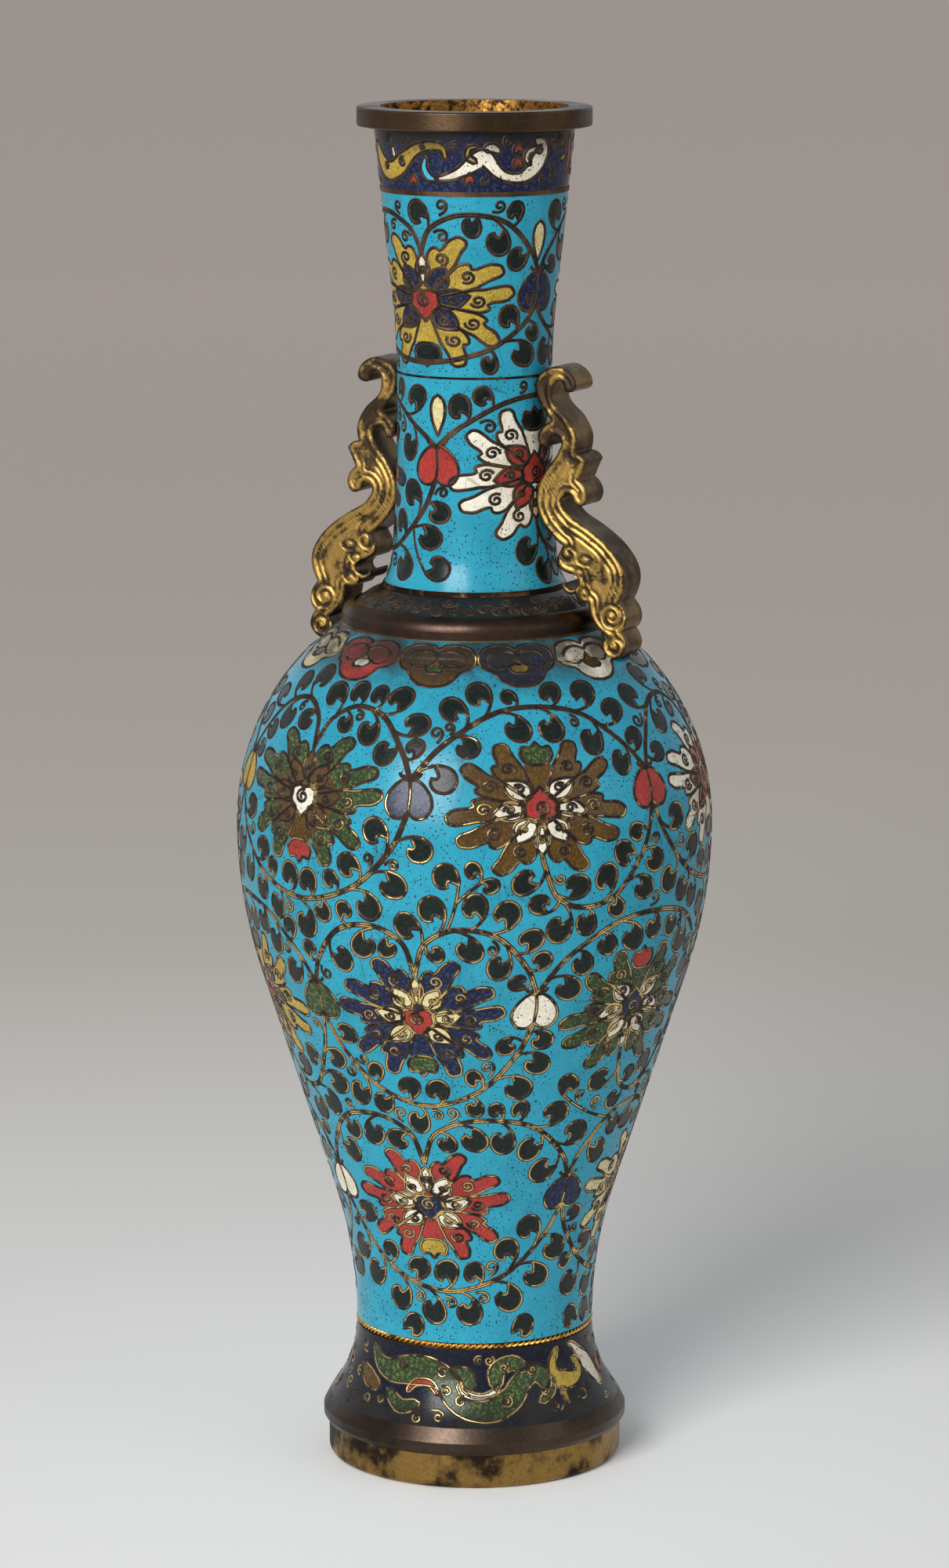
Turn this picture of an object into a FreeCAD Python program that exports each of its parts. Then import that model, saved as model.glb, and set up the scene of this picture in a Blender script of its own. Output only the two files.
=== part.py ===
"""Cloisonne vase: a copper vessel in three brazed sections, with cast bronze rings, enamel
zones between cloison wires, and two cast dragon-scroll handles pinned to neck and shoulder.

Row frame: millimetres, +Z up, origin on the axis at the underside of the foot ring.
The handles lie in the XZ plane, the right one on +X.
"""

import FreeCAD, Part
import math
import os

import Sketcher

SIZES = [
    ("overall_height", 450.0, "foot to mouth"),
    ("rim_height", 6.3, "depth of the cast mouth rim"),
    ("rim_radius", 38.2, "outside of the mouth rim"),
    ("rim_edge", 0.7, "rounding of the rim's outer edges"),
    ("rim_rebate", 2.4, "how far the neck stands up into the rim"),
    ("wall", 1.5, "copper wall of the vessel"),
    ("enamel", 0.8, "depth of the enamel on the copper"),
    ("wire_proud", 0.25, "height of a cloison wire above the enamel"),
    ("neck_top_radius", 32.9, "neck just under the rim"),
    ("throat_radius", 25.2, "narrowest neck"),
    ("throat_height", 363.0, "top of the neck's straight throat"),
    ("throat_length", 12.0, "length of the straight throat"),
    ("neck_arc_share", 0.49, "upper neck arc, as a share of the largest that fits"),
    ("neck_root_radius", 26.8, "neck where its foot starts to spread"),
    ("neck_root_height", 306.0, "height of that place"),
    ("neck_foot_height", 293.9, "joint of neck and collar"),
    ("neck_foot_fillet", 30.0, "spread of the neck's foot"),
    ("neck_band_depth", 20.1, "dark band of the neck, from the rim to the middle of its wire"),
    ("seam_wire_height", 364.2, "wire between the two zones of the neck"),
    ("ring_wire_width", 1.5, "width of a border wire"),
    ("seam_wire_width", 0.7, "width of the thin wire round the neck"),
    ("collar_drop", 5.0, "fall of the collar's sloping band"),
    ("collar_slope_radius", 39.5, "outer edge of the sloping band"),
    ("collar_radius", 43.5, "outside of the collar moulding"),
    ("collar_round", 4.6, "rounding of the collar moulding"),
    ("collar_seat_radius", 43.0, "collar where it meets the shoulder"),
    ("collar_wire_width", 0.9, "wire round the foot of the collar"),
    ("spigot_radius", 35.0, "collar spigot in the shoulder's opening"),
    ("spigot_depth", 5.0, "how far the spigot reaches below the shoulder's top"),
    ("belly_radius", 78.4, "widest body"),
    ("belly_height", 215.5, "height of the widest body"),
    ("shoulder_arc", 80.2, "radius of the shoulder's arc"),
    ("belly_arc_share", 0.417, "belly arc, as a share of the largest that fits"),
    ("waist_arc_share", 0.390, "waist arc, as a share of the largest that fits"),
    ("waist_radius", 39.4, "narrowest body"),
    ("waist_height", 46.0, "height of the waist, where body and foot join"),
    ("waist_wire_width", 2.2, "gilt double wire over the waist joint"),
    ("lap", 7.0, "lap of the foot section inside the body section"),
    ("flare_radius", 48.3, "foot section where it meets the base moulding"),
    ("flare_height", 20.6, "height of that place"),
    ("moulding_radius", 50.7, "outside of the base moulding"),
    ("moulding_bevel", 4.6, "height of the moulding's bevel"),
    ("moulding_undercut", 1.0, "how far the moulding's lower edge turns in"),
    ("moulding_lip", 1.6, "height over which it does"),
    ("foot_radius", 48.9, "outside of the foot ring"),
    ("foot_ring_height", 11.7, "height of the foot ring"),
    ("foot_ring_width", 6.4, "thickness of the foot ring at the ground"),
    ("foot_ring_edge", 2.6, "rounding of the foot ring's lower edge"),
    ("ledge", 2.0, "ledge in the foot ring that carries the base plate"),
    ("plate", 2.0, "thickness of the base plate"),
    ("handle_height", 94.4, "handle from its foot to the top of its hook"),
    ("handle_reach", 32.3, "handle from the neck to its outermost curl"),
    ("handle_thickness", 14.0, "thickness of the cast handle"),
    ("handle_stand", 27.5, "handle foot, outward from the throat"),
    ("handle_sink", 1.0, "depth of the saddle cut where the handle meets the vessel"),
    ("pin_radius", 2.0, "handle pins"),
    ("pin_head_radius", 3.2, "peened heads inside the vessel"),
    ("pin_head", 1.2, "thickness of those heads"),
    ("pin_bite", 3.5, "how far a pin enters the handle"),
    ("upper_pin_height", 83.8, "upper pin above the handle's foot"),
]

# The handle's outline at its nominal size: x outward from the neck, z up from the foot.
# Each stretch is one smooth curve, and the stretches meet at corners.
HANDLE_NOMINAL = (32.3, 94.4)
HANDLE_OUTLINE = [
    # top hook, over its crest to the tip
    [(-0.4, 88.0), (0.9, 91.0), (3.0, 93.0), (6.0, 94.1), (8.2, 94.3), (10.8, 93.4),
     (12.9, 91.7), (14.2, 89.4), (14.1, 87.3), (12.6, 86.2), (11.2, 86.0), (10.0, 86.9)],
    # eye of the top hook, then the outer edge of the upper stem
    [(10.0, 86.9), (9.8, 88.4), (8.2, 89.8), (6.6, 89.0), (5.8, 86.9), (6.0, 83.6), (8.0, 80.7),
     (10.9, 78.2), (13.0, 75.3), (14.5, 72.0), (14.6, 69.2), (14.1, 66.5)],
    # spur
    [(14.1, 66.5), (16.3, 65.9), (18.1, 64.0)],
    [(18.1, 64.0), (16.7, 61.2), (15.3, 57.9)],
    # middle hook
    [(15.3, 57.9), (17.2, 56.1), (18.3, 53.5), (18.0, 51.2), (16.9, 49.7), (15.6, 49.3),
     (14.1, 50.0), (13.2, 51.0)],
    # eye of the middle hook, then the dragon's back down to the nape
    [(13.2, 51.0), (12.8, 52.3), (11.4, 53.0), (9.9, 52.2), (9.2, 50.7), (9.8, 48.8),
     (12.6, 45.6), (15.9, 43.7), (21.0, 40.6), (25.8, 36.9), (29.2, 33.0), (31.3, 29.0),
     (31.8, 25.6), (31.0, 21.8), (29.6, 18.8)],
    # upper curl of the beard
    [(29.6, 18.8), (31.4, 16.4), (32.3, 13.8), (32.0, 11.3), (30.4, 9.2)],
    # lower curl, which stands on the shoulder
    [(30.4, 9.2), (32.0, 6.5), (32.3, 4.0), (31.4, 2.2), (29.6, 0.6), (27.5, 0.0), (25.5, 0.8),
     (24.3, 2.3), (24.1, 4.2), (25.0, 6.0), (25.6, 7.4)],
    # throat of the dragon, clear of the collar
    [(25.6, 7.4), (22.9, 9.4), (21.0, 11.4), (19.7, 13.8), (19.1, 16.2), (18.9, 18.0)],
    # bead under the jaw
    [(18.9, 18.0), (16.9, 17.9), (15.0, 19.0), (14.2, 21.2)],
    # lower jaw
    [(14.2, 21.2), (12.4, 20.4), (10.8, 21.1), (9.9, 22.4), (9.9, 23.9)],
    # open mouth
    [(9.9, 23.9), (11.3, 22.5), (13.2, 22.2), (14.9, 23.3), (15.3, 25.0), (14.3, 26.5),
     (12.4, 27.1)],
    # upper lip
    [(12.4, 27.1), (10.2, 27.8), (8.4, 29.0), (7.7, 31.2), (8.3, 33.4), (9.7, 36.2)],
    # breast, which leans on the neck
    [(9.7, 36.2), (7.6, 37.6), (5.4, 39.7), (3.2, 42.1), (1.4, 45.2), (0.3, 48.6), (0.1, 51.6),
     (0.9, 55.6), (2.6, 59.0), (4.3, 61.6), (6.2, 63.8), (8.3, 67.4)],
    # eye and outside of the inner hook
    [(8.3, 67.4), (9.0, 69.6), (8.3, 71.1), (6.8, 71.7), (5.3, 71.0), (4.4, 69.7), (4.1, 68.4)],
    [(4.1, 68.4), (2.9, 67.9), (1.5, 68.6), (0.7, 70.2), (0.9, 72.4), (2.2, 74.3), (3.8, 75.6),
     (5.5, 76.7)],
    # inner edge of the upper stem, back up to the hook
    [(5.5, 76.7), (4.2, 78.2), (2.6, 80.4), (1.1, 82.6), (0.0, 85.4), (-0.4, 88.0)],
]

RIGHT, LEFT = 1, -1

doc = FreeCAD.newDocument("cloisonne_vase")


# ---------------------------------------------------------------- sizes and derived places


def make_sheet():
    sheet = doc.addObject("Spreadsheet::Sheet", "Sizes")
    for row, (alias, number, note) in enumerate(SIZES, 1):
        sheet.set(f"A{row}", alias)
        sheet.set(f"B{row}", str(number))
        sheet.set(f"C{row}", note)
        sheet.setAlias(f"B{row}", alias)
    doc.recompute()
    return sheet


sheet = make_sheet()


def size(alias):
    """The expression for one cell of the sheet."""
    return f"Sizes.{alias}"


def number(expression):
    """What an expression comes to now."""
    found = sheet.evalExpression(str(expression))
    return float(getattr(found, "Value", found))


def largest_arc(rise, spread):
    """Radius of the largest arc, upright at one end, across a rise and a spread."""
    return f"((({rise})^2 + ({spread})^2) / (2 * ({spread})))"


# Depths below the enamel's surface. The wires stand above it.
PROUD = f"(-{size('wire_proud')})"
SKIN = "(0)"
CORE = f"({size('enamel')})"
MIDWALL = f"({size('enamel')} + {size('wall')} / 2)"
CAVITY = f"({size('enamel')} + {size('wall')})"

neck_top_height = f"({size('overall_height')} - {size('rim_height')} + {size('rim_rebate')})"
rim_underside = f"({size('overall_height')} - {size('rim_height')})"

throat_foot = f"({size('throat_height')} - {size('throat_length')})"
root_arc = largest_arc(
    f"{throat_foot} - {size('neck_root_height')}",
    f"{size('neck_root_radius')} - {size('throat_radius')}",
)
root_cos = f"(({size('throat_radius')} + {root_arc} - {size('neck_root_radius')}) / {root_arc})"
root_sin = f"(({throat_foot} - {size('neck_root_height')}) / {root_arc})"
fillet_x = f"({size('neck_root_radius')} + {size('neck_foot_fillet')} * {root_cos})"
fillet_z = f"({size('neck_root_height')} + {size('neck_foot_fillet')} * {root_sin})"


def neck_foot_radius(depth):
    """Radius of the neck at its joint with the collar, at a depth below the enamel."""
    reach = f"({size('neck_foot_fillet')} + {depth})"
    fall = f"({fillet_z} - {size('neck_foot_height')})"
    return f"({fillet_x} - sqrt({reach}^2 - {fall}^2))"


def shoulder_height(radius, depth):
    """Height of the shoulder at a radius, at a depth below the enamel."""
    arc = f"({size('shoulder_arc')} - {depth})"
    across = f"({radius} - {size('belly_radius')} + {size('shoulder_arc')})"
    return f"({size('belly_height')} + sqrt({arc}^2 - {across}^2))"


# ---------------------------------------------------------------- sketches and bodies


def profile_sketch(body, name, corners):
    """A closed sketch in the YZ plane. corners: (r, z) or (r, z, radius, side) expressions;
    a radius makes the edge that follows the corner an arc, with its centre on side +1, the
    right of the way along the edge, or -1, the left."""
    sketch = body.newObject("Sketcher::SketchObject", name)
    plane = next(f for f in body.Origin.OriginFeatures if f.Role == "YZ_Plane")
    sketch.AttachmentSupport = [(plane, "")]
    sketch.MapMode = "FlatFace"
    points = [FreeCAD.Vector(number(c[0]), number(c[1]), 0) for c in corners]
    count = len(corners)
    starts, ends = [], []
    for i, corner in enumerate(corners):
        a, b = points[i], points[(i + 1) % count]
        if len(corner) == 2:
            sketch.addGeometry(Part.LineSegment(a, b), False)
            starts.append((i, 1))
            ends.append((i, 2))
            continue
        radius, side = number(corner[2]), corner[3]
        along = (b - a).normalize()
        right = FreeCAD.Vector(along.y, -along.x, 0)
        half = (b - a).Length / 2
        centre = (a + b) / 2 + right * side * math.sqrt(radius**2 - half**2)
        first, last = (b, a) if side > 0 else (a, b)
        start = math.atan2(first.y - centre.y, first.x - centre.x)
        sweep = 2 * math.asin(half / radius)
        circle = Part.Circle(centre, FreeCAD.Vector(0, 0, 1), radius)
        sketch.addGeometry(Part.ArcOfCircle(circle, start, start + sweep), False)
        starts.append((i, 2 if side > 0 else 1))
        ends.append((i, 1 if side > 0 else 2))
        at = sketch.addConstraint(Sketcher.Constraint("Radius", i, radius))
        sketch.setExpression(f"Constraints[{at}]", corner[2])
    for i, corner in enumerate(corners):
        sketch.addConstraint(Sketcher.Constraint("Coincident", *ends[i - 1], *starts[i]))
        for kind, place, value in (("DistanceX", 0, points[i].x), ("DistanceY", 1, points[i].y)):
            if abs(value) < 1e-9:
                axis = -2 if kind == "DistanceX" else -1
                sketch.addConstraint(Sketcher.Constraint("PointOnObject", *starts[i], axis))
                continue
            at = sketch.addConstraint(Sketcher.Constraint(kind, -1, 1, *starts[i], value))
            sketch.setExpression(f"Constraints[{at}]", corner[place])
    return sketch


def turned(label, corners):
    """A body turned about Z from a closed profile."""
    body = doc.addObject("PartDesign::Body", label)
    body.Label = label
    sketch = profile_sketch(body, f"{label}_profile", corners)
    turn = body.newObject("PartDesign::Revolution", f"{label}_turn")
    turn.Profile = sketch
    turn.ReferenceAxis = (sketch, ["V_Axis"])
    turn.Angle = 360.0
    return body


def combine(kind, label, base, tool):
    piece = doc.addObject(kind, label)
    piece.Label = label
    piece.Base, piece.Tool = base, tool
    return piece


def cut(label, base, tool):
    return combine("Part::Cut", label, base, tool)


def common(label, base, tool):
    return combine("Part::Common", label, base, tool)


def fuse(label, base, tool):
    return combine("Part::Fuse", label, base, tool)


def drum(label, radius, low, high):
    """An upright cylinder between two heights, used as a cutter."""
    piece = doc.addObject("Part::Cylinder", label)
    piece.Label = label
    piece.setExpression("Radius", radius)
    piece.setExpression("Height", f"{high} - {low}")
    piece.setExpression("Placement.Base.z", low)
    return piece


# ---------------------------------------------------------------- master forms of the vessel


def body_form(label, depth):
    """The filled body and foot, from the base moulding to the collar's spigot."""
    rise = f"({size('belly_height')} - {size('waist_height')})"
    spread = f"({size('belly_radius')} - {size('waist_radius')})"
    belly_arc = f"({size('belly_arc_share')} * {largest_arc(rise, spread)})"
    waist_arc = f"({size('waist_arc_share')} * {largest_arc(rise, spread)})"
    across = f"({belly_arc} + {waist_arc} - {spread})"
    # lean of the straight stretch that touches both arcs
    lean = (f"(atan({rise} / {across})"
            f" - acos(({belly_arc} + {waist_arc}) / sqrt({across}^2 + {rise}^2)))")
    flare = largest_arc(
        f"{size('waist_height')} - {size('flare_height')}",
        f"{size('flare_radius')} - {size('waist_radius')}",
    )
    flare_fall = f"({size('waist_height')} - {size('flare_height')})"
    foot_x = (f"({size('waist_radius')} + {flare}"
              f" - sqrt(({flare} + {depth})^2 - {flare_fall}^2))")
    low_x = f"({size('waist_radius')} + {waist_arc} - ({waist_arc} + {depth}) * cos({lean}))"
    low_z = f"({size('waist_height')} + ({waist_arc} + {depth}) * sin({lean}))"
    high_x = f"({size('belly_radius')} - {belly_arc} + ({belly_arc} - {depth}) * cos({lean}))"
    high_z = f"({size('belly_height')} - ({belly_arc} - {depth}) * sin({lean}))"
    top_z = shoulder_height(size("spigot_radius"), depth)
    return turned(label, [
        ("0", size("flare_height")),
        (foot_x, size("flare_height"), f"{flare} + {depth}", 1),
        (f"{size('waist_radius')} - {depth}", size("waist_height"), f"{waist_arc} + {depth}", 1),
        (low_x, low_z),
        (high_x, high_z, f"{belly_arc} - {depth}", -1),
        (f"{size('belly_radius')} - {depth}", size("belly_height"),
         f"{size('shoulder_arc')} - {depth}", -1),
        (size("spigot_radius"), top_z),
        ("0", top_z),
    ])


def neck_form(label, depth):
    """The filled neck, from the collar joint up into the rim."""
    rise = f"({neck_top_height} - {size('throat_height')})"
    spread = f"({size('neck_top_radius')} - {size('throat_radius')})"
    arc = f"({size('neck_arc_share')} * {largest_arc(rise, spread)})"
    # lean of the straight stretch from the arc to the rim
    lean = (f"(atan({rise} / ({arc} - {spread}))"
            f" + asin({arc} / sqrt(({arc} - {spread})^2 + {rise}^2)) - 90 deg)")
    arc_x = f"({size('throat_radius')} + {arc} - ({arc} + {depth}) * cos({lean}))"
    arc_z = f"({size('throat_height')} + ({arc} + {depth}) * sin({lean}))"
    top_x = f"({size('neck_top_radius')} - ({depth}) / cos({lean}))"
    root_x = f"({size('neck_root_radius')} - {depth} * {root_cos})"
    root_z = f"({size('neck_root_height')} - {depth} * {root_sin})"
    return turned(label, [
        ("0", size("neck_foot_height")),
        (neck_foot_radius(depth), size("neck_foot_height"),
         f"{size('neck_foot_fillet')} + {depth}", 1),
        (root_x, root_z, f"{root_arc} + {depth}", 1),
        (f"{size('throat_radius')} - {depth}", throat_foot),
        (f"{size('throat_radius')} - {depth}", size("throat_height"), f"{arc} + {depth}", 1),
        (arc_x, arc_z),
        (top_x, neck_top_height),
        ("0", neck_top_height),
    ])


body_proud = body_form("body_proud", PROUD)
body_skin = body_form("body_skin", SKIN)
body_core = body_form("body_core", CORE)
body_midwall = body_form("body_midwall", MIDWALL)
body_cavity = body_form("body_cavity", CAVITY)
neck_proud = neck_form("neck_proud", PROUD)
neck_skin = neck_form("neck_skin", SKIN)
neck_core = neck_form("neck_core", CORE)
neck_cavity = neck_form("neck_cavity", CAVITY)

body_enamel_layer = cut("body_enamel_layer", body_skin, body_core)
body_wire_layer = cut("body_wire_layer", body_proud, body_core)
body_wall_layer = cut("body_wall_layer", body_core, body_cavity)
neck_enamel_layer = cut("neck_enamel_layer", neck_skin, neck_core)
neck_wire_layer = cut("neck_wire_layer", neck_proud, neck_core)

WIDE = f"({size('belly_radius')} + {size('moulding_radius')})"


def zone(label, layer, low, high):
    """The stretch of a layer between two heights."""
    return common(label, layer, drum(f"{label}_zone", WIDE, low, high))


def edges_of_wire(height, width):
    return f"({height} - {width} / 2)", f"({height} + {width} / 2)"


band_wire_height = f"({rim_underside} - {size('neck_band_depth')})"
band_wire_low, band_wire_high = edges_of_wire(band_wire_height, size("ring_wire_width"))
seam_wire_low, seam_wire_high = edges_of_wire(size("seam_wire_height"), size("seam_wire_width"))
waist_wire_low, waist_wire_high = edges_of_wire(size("waist_height"), size("waist_wire_width"))
neck_foot_wire_high = f"({size('neck_foot_height')} + {size('ring_wire_width')})"


# ---------------------------------------------------------------- neck


def make_neck():
    shell = cut("neck_shell", neck_core, neck_cavity)
    return {
        "neck_shell": shell,
        "neck_band_enamel": zone(
            "neck_band_enamel", neck_enamel_layer, band_wire_high, rim_underside),
        "neck_band_wire": zone(
            "neck_band_wire", neck_wire_layer, band_wire_low, band_wire_high),
        "upper_neck_enamel": zone(
            "upper_neck_enamel", neck_enamel_layer, seam_wire_high, band_wire_low),
        "neck_seam_wire": zone(
            "neck_seam_wire", neck_wire_layer, seam_wire_low, seam_wire_high),
        "lower_neck_enamel": zone(
            "lower_neck_enamel", neck_enamel_layer, neck_foot_wire_high, seam_wire_low),
        "neck_foot_wire": zone(
            "neck_foot_wire", neck_wire_layer, size("neck_foot_height"), neck_foot_wire_high),
    }


def make_mouth_rim():
    """Cast ring with a rebate under it that takes the neck's copper edge."""
    edge, radius, top = size("rim_edge"), size("rim_radius"), size("overall_height")
    bore = f"({size('neck_top_radius')} - {CAVITY})"
    blank = turned("rim_blank", [
        (bore, rim_underside),
        (f"{radius} - {edge}", rim_underside, edge, -1),
        (radius, f"{rim_underside} + {edge}"),
        (radius, f"{top} - {edge}", edge, -1),
        (f"{radius} - {edge}", top),
        (bore, top),
    ])
    return cut("mouth_rim", blank, neck_core)


# ---------------------------------------------------------------- collar


def make_collar():
    """Moulded ring that joins neck and shoulder, with the enamelled slope let into it."""
    foot, slope = neck_foot_radius(SKIN), size("collar_slope_radius")
    top = size("neck_foot_height")
    slope_z = f"({top} - {size('collar_drop')})"
    bore = neck_foot_radius(CAVITY)
    round_x = f"({size('collar_radius')} - {size('collar_round')})"
    round_z = f"({slope_z} - sqrt({size('collar_round')}^2 - ({slope} - {round_x})^2))"
    seat = size("collar_seat_radius")
    spigot = size("spigot_radius")
    shoulder_top = shoulder_height(spigot, CORE)
    spigot_foot = f"({shoulder_height(spigot, CAVITY)} - {size('spigot_depth')})"
    blank = turned("collar_blank", [
        (bore, spigot_foot),
        (spigot, spigot_foot),
        (spigot, shoulder_top),
        (seat, shoulder_height(seat, CORE)),
        (size("collar_radius"), round_z, size("collar_round"), -1),
        (slope, slope_z),
        (slope, f"{slope_z} - {size('enamel')}"),
        (foot, f"{top} - {size('enamel')}"),
        (foot, top),
        (bore, top),
    ])
    enamel = turned("collar_enamel", [
        (foot, top),
        (foot, f"{top} - {size('enamel')}"),
        (slope, f"{slope_z} - {size('enamel')}"),
        (slope, slope_z),
    ])
    wire_outer = f"({seat} + {size('collar_wire_width')})"
    outer = drum("collar_wire_outer", wire_outer, size("belly_height"), top)
    inner = drum("collar_wire_inner", seat, size("belly_height"), top)
    wire_tube = cut("collar_wire_tube", outer, inner)
    ring_wire = common("collar_wire_rough", body_wire_layer, wire_tube)
    collar = cut("collar_ring", blank, body_core)
    return {
        "collar_ring": collar,
        "collar_enamel": enamel,
        "collar_wire": cut("collar_wire", ring_wire, collar),
    }


# ---------------------------------------------------------------- body and foot


def make_body_and_foot(collar):
    """Body and foot sections, lapped at the waist, with their enamel and the double wire."""
    spigot_hole = drum("spigot_hole", size("spigot_radius"), size("belly_height"),
                       size("neck_foot_height"))
    lap_top = f"({size('waist_height')} + {size('lap')})"
    lap_layer = cut("lap_layer", body_midwall, body_cavity)
    lap = zone("waist_lap", lap_layer, size("waist_height"), lap_top)
    upper = zone("body_wall", body_wall_layer, size("waist_height"), size("neck_foot_height"))
    opened = cut("body_opened", upper, spigot_hole)
    lower = zone("foot_wall", body_wall_layer, size("flare_height"), size("waist_height"))
    collar_hole = drum("collar_hole",
                       f"({size('collar_seat_radius')} + {size('collar_wire_width')})",
                       size("belly_height"), size("neck_foot_height"))
    enamel = zone("body_enamel_full", body_enamel_layer, waist_wire_high,
                  size("neck_foot_height"))
    return {
        "body_shell": cut("body_shell", opened, lap),
        "foot_shell": fuse("foot_shell", lower, lap),
        "body_enamel": cut("body_enamel", cut("body_enamel_open", enamel, collar_hole), collar),
        "waist_wire": zone("waist_wire", body_wire_layer, waist_wire_low, waist_wire_high),
        "foot_enamel": zone("foot_enamel", body_enamel_layer, size("flare_height"),
                            waist_wire_low),
    }


def make_base():
    """Bronze base moulding, the gilt foot ring under it, and the plate that closes the foot."""
    ring_top, radius = size("foot_ring_height"), size("moulding_radius")
    ground_bore = f"({size('foot_radius')} - {size('foot_ring_width')})"
    plate_radius = f"({ground_bore} + {size('ledge')})"
    moulding_bore = f"({plate_radius} - {size('ledge')} / 2)"
    ledge_top = f"({ring_top} - {size('plate')})"
    edge = size("foot_ring_edge")
    belt_top = f"({size('flare_height')} - {size('moulding_bevel')})"
    plate = doc.addObject("Part::Cylinder", "base_plate")
    plate.setExpression("Radius", plate_radius)
    plate.setExpression("Height", size("plate"))
    plate.setExpression("Placement.Base.z", ledge_top)
    return {
        "base_moulding": turned("base_moulding", [
            (moulding_bore, ring_top),
            (f"{radius} - {size('moulding_undercut')}", ring_top),
            (radius, f"{ring_top} + {size('moulding_lip')}"),
            (radius, belt_top),
            (size("flare_radius"), size("flare_height")),
            (moulding_bore, size("flare_height")),
        ]),
        "foot_ring": turned("foot_ring", [
            (ground_bore, "0"),
            (f"{size('foot_radius')} - {edge}", "0", edge, -1),
            (size("foot_radius"), edge),
            (size("foot_radius"), ring_top),
            (plate_radius, ring_top),
            (plate_radius, ledge_top),
            (ground_bore, ledge_top),
        ]),
        "base_plate": plate,
    }


# ---------------------------------------------------------------- handles

handle_foot_radius = f"({size('throat_radius')} + {size('handle_stand')})"
handle_foot_height = f"({shoulder_height(handle_foot_radius, SKIN)} - {size('handle_sink')})"


def handle_blank(label, side):
    """The cast scroll before it is fitted: its outline, padded both ways from the XZ plane."""
    body = doc.addObject("PartDesign::Body", label)
    body.Label = label
    sketch = body.newObject("Sketcher::SketchObject", f"{label}_outline")
    plane = next(f for f in body.Origin.OriginFeatures if f.Role == "XZ_Plane")
    sketch.AttachmentSupport = [(plane, "")]
    sketch.MapMode = "FlatFace"
    wide = number(size("handle_reach")) / HANDLE_NOMINAL[0]
    tall = number(size("handle_height")) / HANDLE_NOMINAL[1]
    for stretch in HANDLE_OUTLINE:
        points = [FreeCAD.Vector(side * x * wide, z * tall, 0) for x, z in stretch]
        if len(points) == 2:
            sketch.addGeometry(Part.LineSegment(*points), False)
            continue
        curve = Part.BSplineCurve()
        curve.interpolate(points)
        sketch.addGeometry(curve, False)
    pad = body.newObject("PartDesign::Pad", f"{label}_pad")
    pad.Profile = sketch
    pad.Midplane = True
    pad.setExpression("Length", size("handle_thickness"))
    sign = "" if side == RIGHT else "-"
    body.setExpression("Placement.Base.x", f"{sign}{size('throat_radius')}")
    body.setExpression("Placement.Base.z", handle_foot_height)
    return body


def rod(label, side, radius, inner, height, length, lean):
    """A round rod from an inner point outward, leaning by an angle from upright."""
    sign = "" if side == RIGHT else "-"
    piece = doc.addObject("Part::Cylinder", label)
    piece.Placement = FreeCAD.Placement(
        FreeCAD.Vector(), FreeCAD.Rotation(FreeCAD.Vector(0, 1, 0), 1.0))
    piece.setExpression("Radius", radius)
    piece.setExpression("Height", length)
    piece.setExpression("Placement.Base.x", f"{sign}{inner}")
    piece.setExpression("Placement.Base.z", height)
    piece.setExpression("Placement.Rotation.Angle", f"{sign}{lean}")
    return piece


def upper_pin(side, name):
    """Level pin through the neck's wall into the stem, peened over inside the neck."""
    height = f"({handle_foot_height} + {size('upper_pin_height')})"
    inner = f"({size('throat_radius')} - {CAVITY} - {size('pin_head')} / 2)"
    shank = rod(f"upper_shank_{name}", side, size("pin_radius"), inner, height,
                f"{CAVITY} + {size('pin_head')} / 2 + {size('pin_bite')}", "(90 deg)")
    head = rod(f"upper_head_{name}", side, size("pin_head_radius"),
               f"({size('throat_radius')} - {CAVITY} - {size('pin_head')})", height,
               size("pin_head"), "(90 deg)")
    inside = common(f"upper_head_inside_{name}", head, neck_cavity)
    return fuse(f"upper_pin_{name}", shank, inside)


def foot_pin(side, name):
    """Pin through the shoulder, square to its surface, into the curl that stands on it."""
    across = f"({handle_foot_radius} - {size('belly_radius')} + {size('shoulder_arc')})"
    lean = f"(asin({across} / {size('shoulder_arc')}))"
    surface_z = shoulder_height(handle_foot_radius, SKIN)
    shank_in = f"({CAVITY} + {size('pin_head')} / 2)"
    head_in = f"({CAVITY} + {size('pin_head')})"

    def below(depth):
        return (f"({handle_foot_radius} - {depth} * sin({lean}))",
                f"({surface_z} - {depth} * cos({lean}))")

    x, z = below(shank_in)
    shank = rod(f"foot_shank_{name}", side, size("pin_radius"), x, z,
                f"{shank_in} + {size('pin_bite')}", lean)
    x, z = below(head_in)
    head = rod(f"foot_head_{name}", side, size("pin_head_radius"), x, z, size("pin_head"), lean)
    inside = common(f"foot_head_inside_{name}", head, body_cavity)
    return fuse(f"foot_pin_{name}", shank, inside)


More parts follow.
